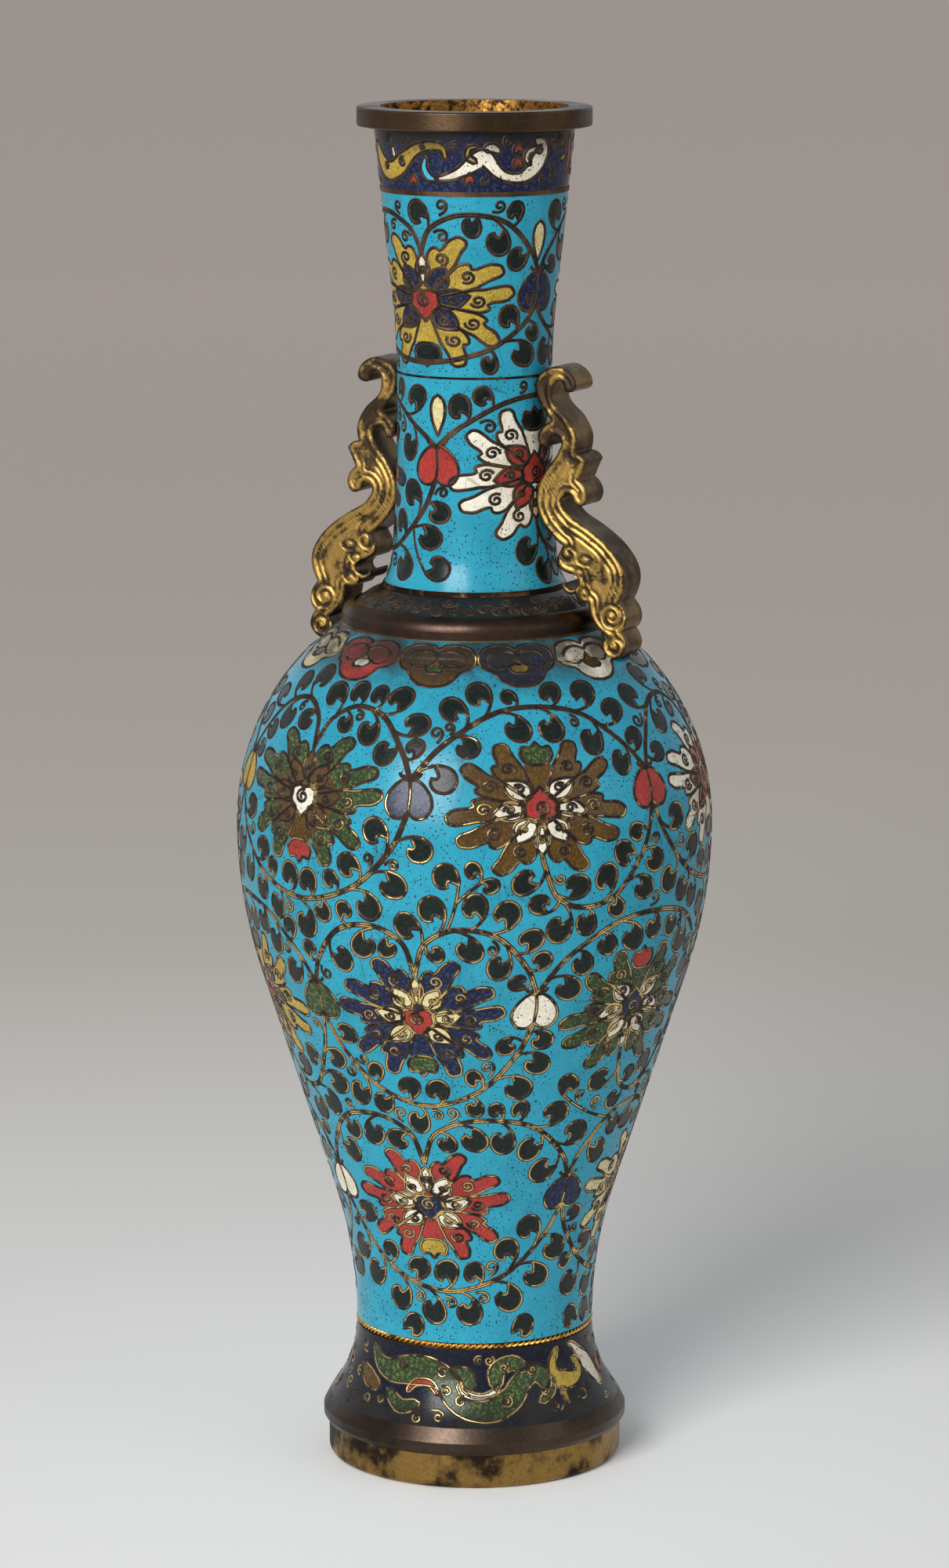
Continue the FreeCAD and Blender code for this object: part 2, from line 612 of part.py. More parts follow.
def make_handles(pieces):
    """Handles saddled to the vessel, with the pin holes drilled through every layer."""
    upper, foot = {}, {}
    for name, side in (("right", RIGHT), ("left", LEFT)):
        blank = handle_blank(f"handle_blank_{name}", side)
        upper[name], foot[name] = upper_pin(side, name), foot_pin(side, name)
        fitted = cut(f"handle_on_neck_{name}", blank, neck_skin)
        seated = cut(f"handle_on_body_{name}", fitted, body_skin)
        for near in ("neck_seam_wire", "collar_ring", "collar_enamel", "collar_wire"):
            seated = cut(f"handle_{name}_beside_{near}", seated, pieces[near])
        drilled = cut(f"handle_drilled_{name}", seated, upper[name])
        pieces[f"handle_{name}"] = cut(f"handle_{name}", drilled, foot[name])
    pieces["upper_handle_pins"] = fuse("upper_handle_pins", upper["right"], upper["left"])
    pieces["foot_handle_pins"] = fuse("foot_handle_pins", foot["right"], foot["left"])
    for layer, pins in (("neck_shell", "upper_handle_pins"),
                        ("lower_neck_enamel", "upper_handle_pins"),
                        ("body_shell", "foot_handle_pins"),
                        ("body_enamel", "foot_handle_pins")):
        whole = pieces[layer]
        whole.Label = f"{layer}_undrilled"
        pieces[layer] = cut(f"{layer}_drilled", whole, pieces[pins])
        pieces[layer].Label = layer


# ---------------------------------------------------------------- the whole vase


def main():
    pieces = {"mouth_rim": make_mouth_rim()}
    pieces.update(make_neck())
    pieces.update(make_collar())
    pieces.update(make_body_and_foot(pieces["collar_ring"]))
    pieces.update(make_base())
    make_handles(pieces)
    doc.recompute()
    failed = [o.Label for o in doc.Objects if "Invalid" in o.State or "Error" in o.State]
    if failed:
        raise RuntimeError(f"these objects failed: {failed}")
    for label, piece in pieces.items():
        shape = piece.Shape
        if shape.isNull() or not shape.isValid() or not shape.Solids:
            raise RuntimeError(f"{label} has no valid solid")
    os.makedirs("parts", exist_ok=True)
    for label, piece in pieces.items():
        piece.Shape.exportStep(os.path.join("parts", f"{label}.step"))
        box = piece.Shape.BoundBox
        print(f"{label:20s} solids {len(piece.Shape.Solids)} volume {piece.Shape.Volume:10.1f}"
              f" x {box.XMin:.2f}..{box.XMax:.2f} z {box.ZMin:.2f}..{box.ZMax:.2f}")


main()
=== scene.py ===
"""Cloisonne vase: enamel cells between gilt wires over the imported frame, with its bronze
rings, worn gilt foot and scroll handles. Metres in Blender; drawings are in millimetres."""

import math
import random

import bpy
import numpy as np
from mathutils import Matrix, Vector
from mathutils.geometry import delaunay_2d_cdt


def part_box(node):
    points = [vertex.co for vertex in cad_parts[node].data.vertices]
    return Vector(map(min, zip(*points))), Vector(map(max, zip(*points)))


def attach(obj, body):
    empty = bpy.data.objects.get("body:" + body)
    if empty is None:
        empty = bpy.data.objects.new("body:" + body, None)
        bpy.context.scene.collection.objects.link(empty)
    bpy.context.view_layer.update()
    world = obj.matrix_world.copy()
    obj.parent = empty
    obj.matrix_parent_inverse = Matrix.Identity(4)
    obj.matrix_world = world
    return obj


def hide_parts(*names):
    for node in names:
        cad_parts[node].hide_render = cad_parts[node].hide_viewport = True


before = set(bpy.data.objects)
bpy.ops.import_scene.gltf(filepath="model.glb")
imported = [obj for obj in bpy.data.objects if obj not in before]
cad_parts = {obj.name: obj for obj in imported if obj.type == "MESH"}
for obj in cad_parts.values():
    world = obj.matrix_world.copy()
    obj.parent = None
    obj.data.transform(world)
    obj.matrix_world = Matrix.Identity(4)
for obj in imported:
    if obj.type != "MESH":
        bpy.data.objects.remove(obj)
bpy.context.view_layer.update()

MM = 0.001
FRONT = math.radians(26)            # the front of the drawings, turned from -Y towards +X
SEAM = FRONT + math.pi              # where the enamel skins close, at the back

WIRE_WIDTH = 0.31                   # flat top of a cell wire
WIRE_GRIME_AND_SHADE = 0.48                   # dirt and painted shade that lie against each side of it
WIRE_LIFT = 0.13                    # how far it stands over the enamel
WIRE_SINK = 0.02                    # how far the outer edge of the dirt and painted shade is sunk into the enamel
WIRE_ROUND = 0.35                   # how round its flat top is shaded
SWELL_EVERY, SWELL = 5, (0.8, 1.2)  # a wire's width changes by this much, over so many points
ROOM = 0.6                          # least space kept between neighbouring lines
EDGE_CLEAR, SEAM_CLEAR = 1.2, 0.03  # least space to a zone's edges, and in radians to the seam
GRID_RUN, GRID_COLUMNS = 2.4, 132   # spacing of an enamel skin's own vertices
SEAM_SLIVER = 0.01                  # no column of a skin comes nearer its seam, in radians
MERGE = 1e-4                        # points closer than this are one point of a mesh
OUTWARD = 0.25                      # least lean outward of a face that is the outside
KNOT_GAP, FACE_STEP = 1.5, 0.25     # heights read from a face, and the finer ones between them
CURL_POINTS = 11                    # points in each turn of a curl

rng = random.Random(8)


# ---------------------------------------------------------------- faces of the turned pieces


class TurnedFace:
    """The outer face of a turned CAD node: its radius and height against the run along it."""

    def __init__(self, node):
        places = {}
        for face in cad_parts[node].data.polygons:
            out = Vector((face.center.x, face.center.y, 0.0)).normalized()
            if face.normal.dot(out) < OUTWARD:
                continue
            for index in face.vertices:
                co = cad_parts[node].data.vertices[index].co / MM
                places[round(co.z, 2)] = math.hypot(co.x, co.y)
        heights = sorted(places)
        kept = [heights[0]]
        for height in heights[1:-1]:
            if height - kept[-1] > KNOT_GAP and heights[-1] - height > KNOT_GAP:
                kept.append(height)
        kept.append(heights[-1])
        self.low, self.high = kept[0], kept[-1]
        fine = np.linspace(self.low, self.high, int((self.high - self.low) / FACE_STEP) + 2)
        self.height = fine
        self.radius = smooth_curve(np.array(kept), np.array([places[k] for k in kept]), fine)
        steps = np.hypot(np.diff(fine), np.diff(self.radius))
        self.run = np.concatenate(([0.0], np.cumsum(steps)))
        self.length = float(self.run[-1])
        self.lean = np.gradient(self.radius, self.run)
        self.rise = np.gradient(fine, self.run)

    def run_at(self, height):
        return float(np.interp(height, self.height, self.run))

    def radius_at(self, run):
        return np.interp(run, self.run, self.radius)

    def place(self, angle, run):
        """Points on the face, in metres, and their normals."""
        angle, run = np.asarray(angle, float), np.asarray(run, float)
        lean, rise = np.interp(run, self.run, self.lean), np.interp(run, self.run, self.rise)
        out = np.stack([np.sin(angle), -np.cos(angle), np.zeros_like(angle)], -1)
        up = np.array([0.0, 0.0, 1.0])
        normal = out * rise[..., None] - up * lean[..., None]
        radius = np.interp(run, self.run, self.radius)
        height = np.interp(run, self.run, self.height)
        point = out * radius[..., None] + up * height[..., None]
        return point * MM, normal


def smooth_curve(x, y, at):
    """A natural cubic spline through the points, read at other places."""
    if len(x) < 3:
        return np.interp(at, x, y)
    gap = np.diff(x)
    system = np.zeros((len(x), len(x)))
    system[0, 0] = system[-1, -1] = 1.0
    right = np.zeros(len(x))
    for i in range(1, len(x) - 1):
        system[i, i - 1:i + 2] = gap[i - 1], 2 * (gap[i - 1] + gap[i]), gap[i]
        right[i] = 6 * ((y[i + 1] - y[i]) / gap[i] - (y[i] - y[i - 1]) / gap[i - 1])
    bend = np.linalg.solve(system, right)
    i = np.clip(np.searchsorted(x, at) - 1, 0, len(gap) - 1)
    a, b, g = x[i + 1] - at, at - x[i], gap[i]
    return ((bend[i] * a**3 + bend[i + 1] * b**3) / (6 * g)
            + (y[i] / g - bend[i] * g / 6) * a + (y[i + 1] / g - bend[i + 1] * g / 6) * b)


# ---------------------------------------------------------------- drawn lines


def flowing(points, closed=False, spacing=0.8):
    """A smooth line through a few points, as points about a spacing apart."""
    count = len(points)
    if count == 2:
        steps = max(1, int(math.dist(*points) / spacing))
        (ax, ay), (bx, by) = points
        return [(ax + (bx - ax) * k / steps, ay + (by - ay) * k / steps)
                for k in range(steps + 1)]
    line = []
    for i in range(count if closed else count - 1):
        b, c = points[i], points[(i + 1) % count]
        a = points[i - 1] if closed or i else (2 * b[0] - c[0], 2 * b[1] - c[1])
        last = not closed and i == count - 2
        d = (2 * c[0] - b[0], 2 * c[1] - b[1]) if last else points[(i + 2) % count]
        steps = max(2, int(math.dist(b, c) / spacing + 0.5))
        for k in range(steps):
            t = k / steps
            line.append(tuple(
                0.5 * (2 * b[n] + (c[n] - a[n]) * t + (2 * a[n] - 5 * b[n] + 4 * c[n] - d[n]) * t**2
                       + (3 * b[n] - a[n] - 3 * c[n] + d[n]) * t**3) for n in (0, 1)))
    if not closed:
        line.append(tuple(points[-1]))
    return line


def outline(*stretches):
    """A closed outline of smooth stretches that meet at corners."""
    line = []
    for stretch in stretches:
        line += flowing(stretch)[:-1]
    return line


def spiral(centre, radius, turns=1.5, start=0.0, hand=1, inner=0.12):
    """A curl that winds from its rim to its eye."""
    count = max(8, int(turns * CURL_POINTS))
    line = []
    for k in range(count + 1):
        t = k / count
        reach = radius * (1 - t * (1 - inner))
        angle = start + hand * turns * math.tau * t
        line.append((centre[0] + reach * math.cos(angle), centre[1] + reach * math.sin(angle)))
    return line


def mirrored(points):
    return [(-x, y) for x, y in reversed(points)]


def both_sides(right):
    """A closed outline from its right half, drawn from the top down."""
    return outline(right, mirrored(right))


class Drawing:
    """What is drawn on one enamel zone: its coloured cells and its wires."""

    def __init__(self, face):
        self.face = face
        self.cells, self.wires, self.taken = [], [], set()

    def spot(self, turn_deg, height, lean=0.0, size=1.0, hand=1, wide=1.0):
        """A function that puts points of a motif round one place on the zone."""
        return self.spot_at(FRONT + math.radians(turn_deg), self.face.run_at(height), lean, size,
                            hand, wide)

    def spot_at(self, angle, run, lean=0.0, size=1.0, hand=1, wide=1.0):
        """The same for a place given as its angle and run."""
        c, s = math.cos(lean), math.sin(lean)

        def put(points):
            placed = []
            for x, y in points:
                x, y = x * size * hand * wide, y * size
                u, v = c * x + s * y, c * y - s * x
                at = min(max(run + v, 0.0), self.face.length)
                placed.append((angle + u / float(self.face.radius_at(at)), at))
            return placed

        return put

    def cell(self, placed, enamel, rank=1, wired=True):
        """A coloured cell. Where cells lie over each other, the highest rank shows."""
        self.cells.append((placed, enamel, rank))
        if wired:
            self.wire(placed, closed=True)

    def wire(self, placed, closed=False, width=1.0):
        self.wires.append((placed, closed, width))
        self.take(placed)

    def keys(self, placed):
        """The small boxes of space that a line passes through."""
        line = np.array(placed)
        points, _ = self.face.place(line[:, 0], line[:, 1])
        return np.floor(points / (ROOM * MM)).astype(int)

    def take(self, placed):
        """Marks the boxes that a line passes through, and those beside them, as in use."""
        for x, y, z in self.keys(placed):
            for i in (x - 1, x, x + 1):
                for j in (y - 1, y, y + 1):
                    for k in (z - 1, z, z + 1):
                        self.taken.add((i, j, k))

    def free(self, placed):
        """Whether a line keeps clear of all that is drawn, of the zone's edges and the seam."""
        runs = [run for _, run in placed]
        if min(runs) < EDGE_CLEAR or max(runs) > self.face.length - EDGE_CLEAR:
            return False
        angles = [angle for angle, _ in placed]
        if min(angles) < SEAM - math.tau + SEAM_CLEAR or max(angles) > SEAM - SEAM_CLEAR:
            return False
        return not any(tuple(key) in self.taken for key in self.keys(placed).tolist())


# ---------------------------------------------------------------- motifs

# a comma leaf on its stalk: the stalk's outer line and the head, then the notch and inner line
LEAF_BACK = [(-0.3, 0.0), (0.3, 2.6), (1.4, 4.9), (3.4, 6.4), (5.8, 6.4), (7.8, 4.7),
             (8.3, 2.1), (7.4, -0.5), (5.4, -1.9), (3.4, -1.4)]
LEAF_NOTCH = [(3.4, -1.4), (3.9, -0.1), (3.3, 0.9), (2.3, 0.8), (1.3, 0.5), (0.5, 0.0)]
LEAF_CLEAR = 2.2                    # how near its own start a leaf may touch other lines
SHOOT_CLEAR = 4.6                   # how near its own vine a shoot may
STALK_LEAST = 1.0                   # a leaf on a stalk no longer than this sits on the vine
LONG_SHOOT = 5                      # a shoot with more places than this carries shoots too
BACKWARD, REVERSED = 0.3, 0.35      # share of shoots that run back, and that bend the other way


def leaf(drawing, put):
    """A comma leaf, if there is room for it beside the line it springs from."""
    shape = outline(LEAF_BACK, LEAF_NOTCH)
    if not drawing.free(put([p for p in shape if math.hypot(*p) > LEAF_CLEAR])):
        return False
    drawing.cell(put(shape), "leaf_enamel")
    return True


def shoot(drawing, start, lean, length, bend, hand, size, wide):
    """A stalk that leaves a vine, bends round and ends in a leaf. Returns its course."""
    angle, run = start
    steps = max(1, round(length))
    course, heading = [(angle, run)], lean
    for _ in range(steps):
        heading += hand * bend / steps
        angle += math.sin(heading) * length / steps / float(drawing.face.radius_at(run))
        run += math.cos(heading) * length / steps
        course.append((angle, run))
    clear = [p for k, p in enumerate(course) if k * length / steps > SHOOT_CLEAR]
    if not 0 < run < drawing.face.length or (clear and not drawing.free(clear)):
        return []
    if not leaf(drawing, drawing.spot_at(angle, run, heading, size, hand, wide)):
        return []
    if length > STALK_LEAST:
        drawing.wire(course)
    return course


def headings(drawing, course):
    """Each place on a course with the heading there, clockwise from upright."""
    line = np.array(course)
    radius = drawing.face.radius_at(line[:, 1])
    along = np.gradient(np.stack([line[:, 0] * radius, line[:, 1]], 1), axis=0)
    return [(a, r, math.atan2(u, v)) for (a, r), (u, v) in zip(course, along)]


def grow(drawing, stems, tries, longest, size):
    """Shoots leaves off the stems wherever there is room, and lets long shoots carry more."""
    for _ in range(tries):
        angle, run, lean = rng.choice(stems)
        side, length = rng.choice((-1, 1)), longest * rng.uniform(0.45, 1.0)
        way = lean + (math.pi if rng.random() < BACKWARD else 0.0)
        course = shoot(drawing, (angle, run), way + side * rng.uniform(0.4, 1.1), length,
                       rng.uniform(0.1, 1.3), -side if rng.random() < REVERSED else side,
                       size * rng.uniform(0.9, 1.08), rng.uniform(0.92, 1.12))
        if len(course) > LONG_SHOOT:
            stems += headings(drawing, course)[2:-1]


def tendril(drawing, put, aside=0.0):
    """A small curl of bare wire, if there is room for it."""
    curl = flowing([(-2.6, -1.6), (-2.2, 0.6), (-1.2, 1.9)])[:-1]
    curl += spiral((0.0, 0.4), 1.9, 1.1, math.radians(128), -1, 0.25)
    line = put([(x + aside, y) for x, y in curl])
    if drawing.free(line):
        drawing.wire(line)


# half of a lotus: the rays between its outer petals, from upright, with each petal's length
# and the side its finger leans to
OUTER_PETALS = [(17, 48, 27.0, -1), (48, 76, 28.0, -1), (76, 106, 29.5, 1), (106, 140, 29.0, -1),
                (140, 174, 28.0, -1)]
INNER_PETALS = (44, 96, 147)
PETAL_ROOT, PETAL_DRAWN, LOTUS_SQUASH = 6.0, 28.0, 0.81
# the disc behind the petals rises to a point under the sepal
DISC_RADIUS, DISC_PEAK, PEAK_SPREAD, DISC_POINTS = 14.0, 6.0, 0.36, 44


def outer_petal(half_angle, length, lean):
    """A petal along +Y: straight sides, a round shoulder and a blunt finger beside it."""
    flare = math.sin(half_angle)
    root, tip = PETAL_ROOT * flare, length - PETAL_DRAWN
    shoulder = [(15.0 * flare, 15.0), (17.6 * flare, 18.0), (16.0 * flare, 20.8), (3.2, 22.0),
                (1.6, 21.4)]
    inner_edge = [(1.6, 21.4), (0.8, 23.0), (0.4, 25.4 + tip), (-0.2, 27.0 + tip)]
    finger = [(-0.2, 27.0 + tip), (-2.4, 29.2 + tip), (-5.2, 28.4 + tip), (-5.8, 26.4 + tip)]
    outer_edge = [(-5.8, 26.4 + tip), (-5.2, 23.8), (-17.6 * flare, 20.8), (-17.2 * flare, 17.8),
                  (-15.0 * flare, 15.0)]
    shape = outline([(root, PETAL_ROOT), (15.0 * flare, 15.0)], shoulder, inner_edge, finger,
                    outer_edge, [(-15.0 * flare, 15.0), (-root, PETAL_ROOT)],
                    [(-root, PETAL_ROOT), (root, PETAL_ROOT)])
    return [(-lean * x, y) for x, y in shape]


def turned(points, degrees):
    """Points turned clockwise about the middle."""
    c, s = math.cos(math.radians(degrees)), math.sin(math.radians(degrees))
    return [(c * x + s * y, c * y - s * x) for x, y in points]


def lotus(drawing, put, petal, inner, heart_enamel, sepal, stem_side=None, disc=None):
    """A scrolling lotus: ten finger petals, seven small ones, a curled heart and a sepal. The
    small petal on the stem's side and the disc behind may have enamels of their own."""

    def pressed(points, hand=1):
        return put([(hand * x, y * LOTUS_SQUASH) for x, y in points])

    floor = []
    for a in np.linspace(-math.pi, math.pi, DISC_POINTS, endpoint=False):
        reach = DISC_RADIUS + DISC_PEAK * math.exp(-(a / PEAK_SPREAD) ** 2)
        floor.append((reach * math.sin(a), reach * math.cos(a)))
    drawing.cell(pressed(floor), disc or petal, rank=3 if disc else 1, wired=False)
    for hand in (1, -1):
        for low, high, length, lean in OUTER_PETALS:
            middle, half_angle = (low + high) / 2, math.radians(high - low) / 2
            shape = turned(outer_petal(half_angle, length, lean), middle)
            drawing.cell(pressed(shape, hand), petal, rank=2)
            eye = turned([(0.0, 18.4)], middle)[0]
            curl = spiral(eye, 2.7, 1.45, math.radians(250 - middle), -1)
            drawing.wire(pressed(curl, hand))
        for degrees in INNER_PETALS:
            pointed = outline([(-1.2, 5.2), (-3.4, 7.8), (-3.9, 10.4), (-2.4, 13.2), (0.6, 16.2)],
                              [(0.6, 16.2), (2.8, 13.4), (3.8, 10.4), (3.3, 7.6), (1.2, 5.2)],
                              [(1.2, 5.2), (-1.2, 5.2)])
            drawing.cell(pressed(turned(pointed, degrees), hand), inner, rank=4)
            curl = spiral((-0.5, 10.2), 2.0, 1.3, math.radians(80), 1)
            drawing.wire(pressed(turned(curl, degrees), hand), width=0.85)
    stem_petal = flowing([(0, -18.4), (-2.0, -15.6), (-2.8, -12.4), (-1.6, -8.4), (0, -7.2),
                          (1.6, -8.4), (2.8, -12.4), (2.0, -15.6)], closed=True)
    drawing.cell(pressed(stem_petal), stem_side or inner, rank=4)
    drawing.wire(pressed(spiral((0, -12.6), 1.6, 1.4, 1.0)), width=0.85)
    right = [(0.0, 8.4), (1.4, 6.6), (4.2, 3.8), (5.6, 0.2), (4.8, -3.2), (2.4, -4.4), (0.0, -3.8)]
    drawing.cell(pressed(both_sides(right)), heart_enamel, rank=5)
    drawing.wire(pressed(spiral((0.3, 0.0), 3.0, 1.6, 4.4)))
    cap_top = [(5.4, 21.0), (4.4, 24.4), (2.0, 24.0), (0.0, 26.4)]
    cap_foot = [(0.0, 17.0), (2.4, 17.2), (4.4, 18.6), (5.4, 21.0)]
    cap = outline(cap_foot, cap_top, mirrored(cap_top), mirrored(cap_foot))
    drawing.cell(pressed(cap), sepal, rank=6)


def heart(drawing, put, enamel_name):
    """A two-lobed bud under its calyx hooks."""
    right = [(0.0, 5.4), (1.9, 6.0), (4.8, 4.0), (7.2, 0.6), (7.6, -3.0), (5.6, -6.0), (2.4, -6.5),
             (0.0, -4.6)]
    drawing.cell(put(both_sides(right)), enamel_name, rank=3)
    drawing.wire(put(flowing([(0.0, 5.4), (0.4, 1.0), (0.0, -4.4)])))
    for hand in (1, -1):
        drawing.wire(put([(hand * x, y) for x, y in
                          flowing([(0.0, 5.4), (1.4, 6.8), (3.0, 7.0), (3.6, 8.2)])]))


def small_bud(drawing, put, enamel_name):
    """A slim closed bud above a heart."""
    right = [(0.0, 6.6), (1.8, 5.2), (2.6, 2.4), (2.2, -1.2), (1.0, -4.4), (0.0, -6.6)]
    drawing.cell(put(both_sides(right)), enamel_name, rank=3)


def lappet(drawing, put, enamel_name, eye_enamel):
    """One head of the cloud collar, hanging from the collar's edge."""
    right = [(0.0, -1.0), (2.2, 0.9), (6.4, 1.2), (10.6, -0.6), (12.8, -4.6), (11.8, -8.6),
             (8.8, -10.8), (7.2, -13.4), (4.2, -15.8), (0.0, -16.6)]
    drawing.cell(put(both_sides(right)), enamel_name, rank=2)
    for hand in (1, -1):
        fold = flowing([(0.0, -3.4), (2.2, -1.9), (5.6, -1.8), (8.8, -3.4), (9.6, -6.2),
                        (7.8, -8.2), (5.4, -8.6), (3.0, -7.2)])
        drawing.wire(put([(hand * x, y) for x, y in fold]))
    drop = [(0.0, -4.6), (1.4, -6.6), (3.0, -7.6), (3.2, -9.6), (1.6, -11.2), (0.0, -11.0)]
    drawing.cell(put(both_sides(drop)), eye_enamel, rank=3)


RIBBON_RADIUS, VINE_RADIUS = 30.0, 60.0     # where courses are smoothed, unrolled from a drum
RIBBON_CLEAR = 0.3                          # least space from a ribbon to its zone's edges
VINE_HALF_GAP = 0.36                        # half of the gap between a vine's two wires


def ribbon(drawing, course, enamel_name, rank):
    """A band of changing width along a course of (turn, height, width)."""
    face = drawing.face
    middle = flowing([(math.radians(turn) * RIBBON_RADIUS, face.run_at(height))
                      for turn, height, _ in course], spacing=1.0)
    steps = np.linspace(0, 1, len(middle))
    widths = np.interp(steps, np.linspace(0, 1, len(course)), [w for _, _, w in course])
    line = np.array(middle)
    radius = face.radius_at(line[:, 1])
    line[:, 0] *= radius / RIBBON_RADIUS
    along = np.gradient(line, axis=0)
    along /= np.linalg.norm(along, axis=1)[:, None]
    across = np.stack([-along[:, 1], along[:, 0]], 1) * widths[:, None] / 2
    left, right = line + across, line - across
    start = line[0] - along[0] * widths[0] * 0.5
    end = line[-1] + along[-1] * widths[-1] * 0.5
    ring = np.concatenate([[start], left, [end], right[::-1]])
    runs = np.clip(ring[:, 1], RIBBON_CLEAR, face.length - RIBBON_CLEAR)
    placed = [(FRONT + x / float(face.radius_at(v)), v) for (x, _), v in zip(ring, runs)]
    drawing.cell(placed, enamel_name, rank)


def vine(drawing, course):
    """A double wire along a course of (turn, height). Returns its places and headings."""
    face = drawing.face
    line = np.array(flowing([(math.radians(turn) * VINE_RADIUS, face.run_at(height))
                             for turn, height in course]))
    line[:, 0] = FRONT + line[:, 0] / VINE_RADIUS
    radius = face.radius_at(line[:, 1])
    along = np.gradient(np.stack([line[:, 0] * radius, line[:, 1]], 1), axis=0)
    along /= np.linalg.norm(along, axis=1)[:, None]
    for side in (VINE_HALF_GAP, -VINE_HALF_GAP):
        shifted = line + np.stack([-along[:, 1] / radius, along[:, 0]], 1) * side
        drawing.wire([tuple(p) for p in shifted])
    return headings(drawing, [tuple(p) for p in line])


LEAF_PITCH = 4.5                            # least way between a vine's own leaves
# stalks tried for each of them, until one has room: length, the leaf's size, and the lean
STALKS = ((6.0, 1.0, 0.3), (4.0, 0.95, 0.45), (2.5, 0.88, 0.3), (1.0, 0.8, 0.5), (3.0, 0.7, 0.8))

# rounds of shoots over a vine's ground: the longest shoot, the leaf's size, and how many are
# tried on a zone that is TRIED_RUN tall
SHOOT_ROUNDS = ((30.0, 1.0, 1200), (18.0, 1.0, 2200), (12.0, 0.92, 1800), (7.0, 0.85, 1500),
                (16.0, 0.8, 1500), (5.0, 0.74, 1200), (12.0, 0.66, 1200), (4.0, 0.6, 1000))
TRIED_RUN = 200.0
CURL_ASIDE = 4.4                            # how far beside its vine a curl's middle lies


def leaves_along(drawing, stems):
    """Leaves on short stalks, on either side of a vine in turn."""
    hand, gone = rng.choice((-1, 1)), LEAF_PITCH * 1.2
    for before, after in zip(stems, stems[1:]):
        gone += math.hypot((after[0] - before[0]) * float(drawing.face.radius_at(after[1])),
                           after[1] - before[1])
        if gone < LEAF_PITCH:
            continue
        hand = -hand
        for length, size, lean in STALKS:
            if shoot(drawing, after[:2], after[2] + hand * lean, length, rng.uniform(0.3, 0.8),
                     hand, size * rng.uniform(0.95, 1.05), rng.uniform(0.92, 1.1)):
                gone = 0.0
                break


def fill(drawing, vines):
    """Dresses the vines with leaves, then fills the ground between with shoots and curls."""
    for stems in vines:
        leaves_along(drawing, stems)
    stems = [place for line in vines for place in line[1:-1]]
    share = drawing.face.length / TRIED_RUN
    for longest, size, tries in SHOOT_ROUNDS:
        grow(drawing, stems, int(tries * share), longest, size)
    for _ in range(len(stems)):
        angle, run, lean = rng.choice(stems)
        put = drawing.spot_at(angle, run, lean, rng.uniform(0.8, 1.15), rng.choice((-1, 1)))
        tendril(drawing, put, CURL_ASIDE)


# ---------------------------------------------------------------- meshes from drawings


def new_piece(name, mesh, slot, *stands_for):
    """A piece of the object that rides with the vase, in place of the CAD nodes it stands for."""
    piece = bpy.data.objects.new(name, mesh)
    bpy.context.scene.collection.objects.link(piece)
    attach(piece, "root")
    if stands_for:
        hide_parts(*stands_for)
    return piece


def build_mesh(name, points, faces, normals=None, materials=(), index=None):
    """A smooth-shaded mesh, with its materials and which of them each face has."""
    mesh = bpy.data.meshes.new(name)
    mesh.from_pydata([tuple(p) for p in points], [], [tuple(int(i) for i in f) for f in faces])
    mesh.polygons.foreach_set("use_smooth", [True] * len(mesh.polygons))
    for look in materials:
        mesh.materials.append(look)
    if index is not None:
        mesh.polygons.foreach_set("material_index", index)
    if normals is not None:
        mesh.normals_split_custom_set_from_vertices([tuple(n) for n in normals])
    mesh.update()
    return mesh


def enamel_skin(name, drawing, ground, slot, *stands_for):
    """One fired skin: the zone's face cut along the outlines of its cells."""
    face = drawing.face
    first, last = SEAM - math.tau, SEAM
    rows = np.linspace(0, face.length, max(3, int(face.length / GRID_RUN)))
    columns = np.linspace(first, last, GRID_COLUMNS + 1)
    scale = float(face.radius.mean())
    points, outlines = [], []
    for k, run in enumerate(rows):
        shift = 0.5 * (columns[1] - columns[0]) if 0 < k < len(rows) - 1 and k % 2 else 0.0
        inner = columns[1:-1] + shift
        inner = inner[inner < last - SEAM_SLIVER]
        points += [(angle * scale, run) for angle in (first, *inner, last)]
    for placed, _, _ in drawing.cells:
        start = len(points)
        ring = [(angle * scale, run) for angle, run in placed]
        if sum(a[0] * b[1] - b[0] * a[1] for a, b in zip(ring, ring[1:] + ring[:1])) < 0:
            ring.reverse()
        points += ring
        outlines.append(list(range(start, len(points))))
    found, _, triangles, _, _, owners = delaunay_2d_cdt(
        [Vector(p) for p in points], [], outlines, 0, MERGE, True)
    flat = np.array([tuple(p) for p in found])
    enamels = [ground] + sorted({enamel for _, enamel, _ in drawing.cells})
    index = []
    for owner in owners:
        best = max(owner, key=lambda k: (drawing.cells[k][2], k), default=None)
        index.append(0 if best is None else enamels.index(drawing.cells[best][1]))
    angle, run = flat[:, 0] / scale, flat[:, 1]
    right = {round(r, 3): i for i, (a, r) in enumerate(zip(angle, run)) if a > last - 1e-6}
    weld = {right[round(r, 3)]: i for i, (a, r) in enumerate(zip(angle, run))
            if a < first + 1e-6 and round(r, 3) in right}
    faces = [[weld.get(i, i) for i in face_points] for face_points in triangles]
    places, normals = face.place(angle, run)
    mesh = build_mesh(name, places, faces, normals, [looks[e] for e in enamels], index)
    return new_piece(name, mesh, slot, *stands_for)


